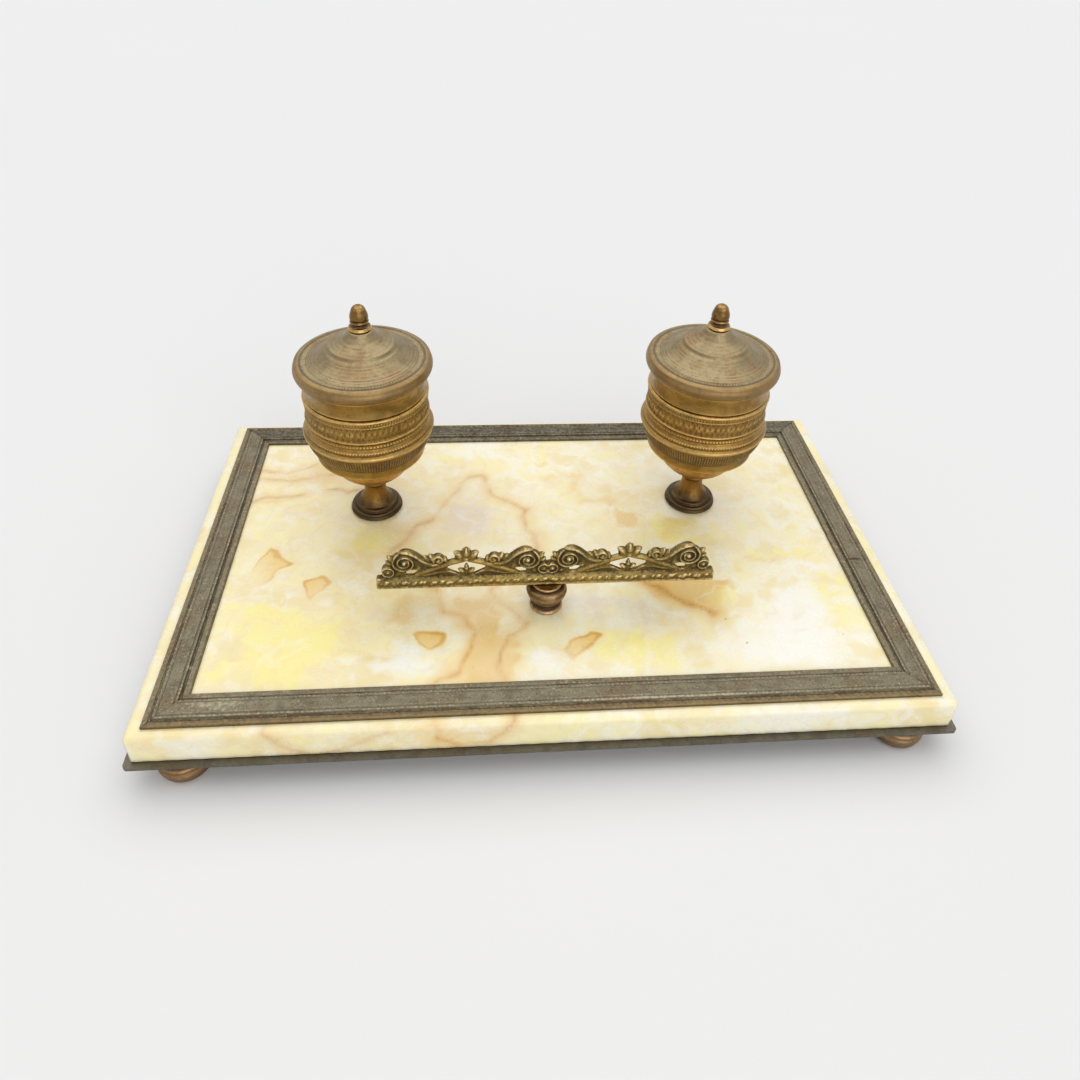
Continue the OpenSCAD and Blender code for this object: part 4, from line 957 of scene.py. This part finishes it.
def scroll_cell():
    """Half of one repeat, to the right of the trefoil's middle, heights from the underside of the foot rail."""
    half = Casting()
    # pierced field behind the ornament
    half.plate([(0, 3.6), (29.0, 3.6), (29.0, 5.0), (0, 5.0)], 0.75)
    half.plate([(6.4, 4.4), (17.4, 4.4), (17.0, 7.6), (15.6, 11.6), (12.6, 12.2), (9.6, 12.6), (8.0, 9.4),
                (6.6, 8.9)], 0.7)
    half.plate([(1.6, 4.4), (7.0, 4.4), (7.0, 7.4), (5.4, 6.6)], 0.7)
    half.plate([(21.4, 4.4), (29.0, 4.4), (29.0, 7.4), (26.4, 12.4), (22.4, 13.0), (20.6, 8.4)], 0.7)
    half.plate([(14.4, 9.0), (17.2, 7.6), (24.5, 8.0), (25.2, 11.2), (23.4, 14.6), (20.4, 15.2), (17.0, 13.4),
                (14.2, 12.6)], 0.7)
    # smooth bars from the foot rail up to the trefoil
    half.rod([(18.6, 4.6), (14.0, 6.9), (8.0, 9.5), (3.4, 11.2), (-0.6, 11.7)], 1.15, 1.25, 0.0)
    half.rod([(19.4, 4.7), (13.0, 5.2), (8.6, 6.6), (4.4, 6.0)], 0.7, 1.0, 0.3)
    # trefoil
    half.petal((0.3, 12.6), (4.5, 15.4), 1.35, 1.5)
    half.petal((0.2, 12.4), (4.2, 13.0), 0.9, 1.2)
    half.petal((0.25, 12.2), (0.9, 17.1), 1.15, 1.35)
    half.petal((-0.3, 12.6), (0.0, 17.6), 0.75, 1.7)
    half.button((0, 12.6), 1.2, 1.8)
    # leaf in the window
    half.rod([(0, 4.2), (0, 7.2), (0, 9.9)], 0.62, 1.0, 0.2)
    half.petal((0, 5.4), (3.1, 7.4), 0.85, 1.1)
    half.petal((0, 4.9), (2.4, 4.9), 0.6, 0.9)
    half.button((0, 7.9), 0.95, 1.3)
    # small curl
    half.scroll((9.5, 12.2), 2.1, 0.7, 1.15, 0.62, 1.45, -0.9, 1)
    half.button((9.5, 12.2), 0.75, 1.55)
    half.petal((7.0, 10.4), (7.6, 13.6), 0.8, 1.2)
    half.petal((10.6, 11.0), (13.0, 14.6), 1.05, 1.35)
    half.petal((11.6, 10.6), (15.0, 14.0), 0.85, 1.2)
    # crest from the curl up to the large scroll
    half.rod([(8.4, 10.3), (11.6, 9.9), (14.8, 11.6), (17.4, 14.4), (20.4, 16.3), (23.4, 15.6)], 0.85, 1.6, 0.0, 40)
    half.rod([(10.4, 9.2), (13.6, 9.6), (15.8, 11.4), (17.3, 13.0)], 0.5, 1.25, 0.2)
    # large scroll
    half.scroll((21.5, 11.3), 4.35, 1.35, 1.9, 0.62, 1.6, 1.35, -1)
    half.button((21.5, 11.3), 1.15, 1.9)
    half.petal((17.0, 10.4), (16.0, 6.4), 0.8, 1.2)
    half.petal((18.8, 7.9), (15.0, 8.6), 0.7, 1.2)
    # tip leaves and end boss
    half.petal((24.6, 11.0), (27.4, 14.4), 0.95, 1.25)
    half.petal((24.8, 10.4), (28.2, 11.6), 0.8, 1.2)
    half.button((27.3, 7.2), 2.35, 1.3)
    half.scroll((27.3, 7.2), 2.0, 2.0, 1.0, 0.42, 1.7, 0.0, 1)
    half.button((27.3, 7.2), 0.85, 1.8)
    half.petal((23.2, 6.9), (24.8, 4.8), 0.7, 1.1)
    half.petal((28.6, 5.6), (26.0, 4.2), 0.6, 1.2)
    return half


def foot_rail(casting):
    """The gallery's moulded foot rail, a section (y, z) carried along x with its ends drawn in, and along both its
    sides a row of small leaves whose size and place waver by sines of their number."""
    half = [(1.1, 4.1), (1.8, 3.4), (2.0, 2.8), (2.1, 2.0), (2.05, 1.2), (2.3, 0.95), (2.42, 0.5)]
    section = np.array([(-2.3, 0.1), (2.3, 0.1)] + half[::-1] + [(-y, z) for y, z in half])
    x = np.array([-60.3, -60.0, 0.0, 60.0, 60.3])
    shrink = np.array([0.9, 1, 1, 1, 0.9])
    centre = section.mean(axis=0)
    ring = centre + (section - centre)[None] * shrink[:, None, None]
    casting.shell(np.stack([np.repeat(x[:, None], len(section), 1), ring[..., 0], ring[..., 1]], -1))
    leaf = Casting()
    leaf.petal((-1.0, 1.9), (0.9, 3.1), 0.62, 0.4)
    for k, place in enumerate(np.arange(-58.6, 58.7, 1.93)):
        for face in (-1, 1):
            swell = 1 + 0.35 * math.sin(2.4 * k + face)
            casting.add(leaf, (swell, 1, swell), (place + 0.5 * math.sin(3.7 * k), face * 2.02,
                                                  2.62 * (1 - swell) + 0.3 * math.sin(1.9 * k)))


def united(casting, name, voxel, rounds):
    """The outer surface of all the shells together, by a remesh of fine cubes, its edges smoothed as a casting's."""
    points = np.vstack(casting.points) + (0, rest_y, rest_low[2])
    rough = mesh_object("gallery_shells", points, casting.faces, sharp=0)
    remesh = rough.modifiers.new("union", "REMESH")
    remesh.mode, remesh.voxel_size, remesh.adaptivity, remesh.use_smooth_shade = "VOXEL", voxel * MM, 0.0, True
    smooth = rough.modifiers.new("cast_edges", "SMOOTH")
    smooth.factor, smooth.iterations = 0.5, rounds
    mesh = bpy.data.meshes.new_from_object(rough.evaluated_get(bpy.context.evaluated_depsgraph_get()))
    bpy.data.objects.remove(rough)
    mesh.name = name
    return mesh


def read_back(items, key, kind, width):
    """One property of all of a mesh's points or edges, a row to each."""
    values = np.empty(len(items) * width, kind)
    items.foreach_get(key, values)
    return values.reshape(-1, width)


def gallery():
    """Cast scroll gallery. Its wear is how far a point stands proud of the mean of its neighbours, taken ten rounds
    wide, and how far it stands from the plate's middle. Its bars and the middle of its foot rail are noted as warm."""
    casting, half = Casting(), scroll_cell()
    for middle in (-HALF_REPEAT, HALF_REPEAT):
        for mirror in (1, -1):
            casting.add(half, (mirror, 1, 1), (middle, 0, 0))
    foot_rail(casting)
    name = "pen_rest_gallery_casting"
    mesh = united(casting, name, voxel=0.3, rounds=2)
    spots = read_back(mesh.vertices, "co", np.float32, 3) / MM
    normals = read_back(mesh.vertices, "normal", np.float32, 3)
    edges = read_back(mesh.edges, "vertices", np.int64, 2)
    count, mean = len(spots), spots
    ties = np.bincount(edges.ravel(), minlength=count)[:, None]
    for _ in range(10):
        total = np.stack([np.bincount(edges[:, 0], mean[edges[:, 1], k], count) +
                          np.bincount(edges[:, 1], mean[edges[:, 0], k], count) for k in range(3)], 1)
        mean = total / ties
    proud = np.sum((spots - mean) * normals, axis=1)
    depth = np.abs(spots[:, 1] - rest_y)
    up = spots[:, 2] - rest_low[2]
    wear_and_shade = np.clip(proud / 0.22, -1, 1) * 0.9 + (depth - 1.35) * 0.35 - 0.25 * (up < 4.2)
    middle = np.abs(np.abs(spots[:, 0]) - HALF_REPEAT)
    bar = np.exp(-((up - (12.3 - 0.42 * middle)) / 1.6) ** 2) * (middle < 18) * (up > 4.4)
    foot = 0.6 * (up < 4.4) * np.exp(-((np.abs(spots[:, 0]) - 12) / 16) ** 2)
    note(mesh, {"wear_and_shade": wear_and_shade, "warm": np.clip(bar + foot, 0, 1)})
    return placed(name, mesh)


dress(gallery(), dark, "dark_bronze", "base", "pen_rest_gallery")


# ---- CAD nodes that stay


for node, thing in frame["nodes"].items():
    if node == "base_plate":
        finish = plate_metal
    elif node == "tie_rods" or node.endswith(("screw", "washer", "nut", "stud")):
        finish = plain
    else:
        continue
    thing.data.materials.clear()
    thing.data.materials.append(finish)


# ---- floor, light and camera


# name, strength, width of its disc, tilt from overhead, heading, in degrees
LAMPS = (("key", 1.5, 84, 14, -172), ("fill", 0.85, 56, 64, 16))
SKY_STRENGTH, BACKGROUND = 0.42, tone(238, 238, 238)
FLOOR_REACH = 8000.0  # from its middle to each side


def studio():
    """Plain pale floor, a soft even sky that the camera, metal and glass see as a pale background, and two wide soft
    lamps."""
    floor = Finish("floor", Specular_IOR_Level=0.0, Roughness=1.0)
    cloud = floor.cloud(floor.place(), 400.0, 1.0)
    floor.feeds(Base_Color=floor.mix(cloud, BACKGROUND, tone(240, 240, 240)))
    corners = np.array([(-1, -1, 0), (1, -1, 0), (1, 1, 0), (-1, 1, 0)]) * FLOOR_REACH
    ground = mesh_object("floor", corners, [[0, 1, 2, 3]])
    ground.data.materials.append(floor.material)
    world = bpy.data.worlds.new("studio")
    bpy.context.scene.world = world
    world.use_nodes = True
    tree = world.node_tree
    tree.nodes.clear()
    rays = tree.nodes.new("ShaderNodeLightPath").outputs
    shown = rays["Is Camera Ray"]
    for kind in ("Glossy", "Transmission"):
        either = tree.nodes.new("ShaderNodeMath")
        either.operation = "MAXIMUM"
        tree.links.new(shown, either.inputs[0])
        tree.links.new(rays[f"Is {kind} Ray"], either.inputs[1])
        shown = either.outputs[0]
    mixer = tree.nodes.new("ShaderNodeMixShader")
    tree.links.new(shown, mixer.inputs[0])
    for socket, colour, strength in ((1, (1.0, 1.0, 1.0), SKY_STRENGTH), (2, BACKGROUND, 1.0)):
        sky = tree.nodes.new("ShaderNodeBackground")
        sky.inputs["Color"].default_value, sky.inputs["Strength"].default_value = (*colour, 1), strength
        tree.links.new(sky.outputs[0], mixer.inputs[socket])
    tree.links.new(mixer.outputs[0], tree.nodes.new("ShaderNodeOutputWorld").inputs["Surface"])
    for name, strength, wide, tilt, heading in LAMPS:
        lamp = bpy.data.lights.new(name, "SUN")
        lamp.energy, lamp.angle = strength, math.radians(wide)
        placed(name, lamp).rotation_euler = (math.radians(tilt), 0, math.radians(heading))


def camera():
    """Camera at the photograph's viewing angle, solved on the slab: it looks along +Y, pitched down, yawed and
    rolled. slab_seen is the middle of the slab's top in its view: right, down and ahead, in millimetres. The focal
    length and the middle of its view are in the photograph's pixels."""
    focal, middle, image = 849.8, (545.0, 416.0), 1080.0
    pitch, yaw, roll = math.radians(34.80), math.radians(5.85), math.radians(2.61)
    slab_seen, sensor = np.array([-2.2, 50.3, 339.4]), 36.0

    def upright(angle):
        return np.array([[math.cos(angle), -math.sin(angle), 0], [math.sin(angle), math.cos(angle), 0], [0, 0, 1]])

    right, ahead = np.array([1.0, 0, 0]), np.array([0, math.cos(pitch), -math.sin(pitch)])
    axes = upright(roll) @ np.stack([right, np.cross(ahead, right), ahead]) @ upright(yaw)
    place = -axes.T @ slab_seen + np.array([0, 0, slab_top])
    lens = bpy.data.cameras.new("camera")
    lens.sensor_width, lens.lens, lens.clip_start = sensor, focal / image * sensor, 0.01
    lens.shift_x, lens.shift_y = (image / 2 - middle[0]) / image, (middle[1] - image / 2) / image
    eye = placed("camera", lens)
    matrix = np.eye(4)
    matrix[:3, :3], matrix[:3, 3] = np.stack([axes[0], -axes[1], -axes[2]], 1), place * MM
    eye.matrix_world = Matrix(matrix.tolist())
    bpy.context.scene.camera = eye


studio()
camera()
bpy.context.scene.view_settings.view_transform = "Standard"
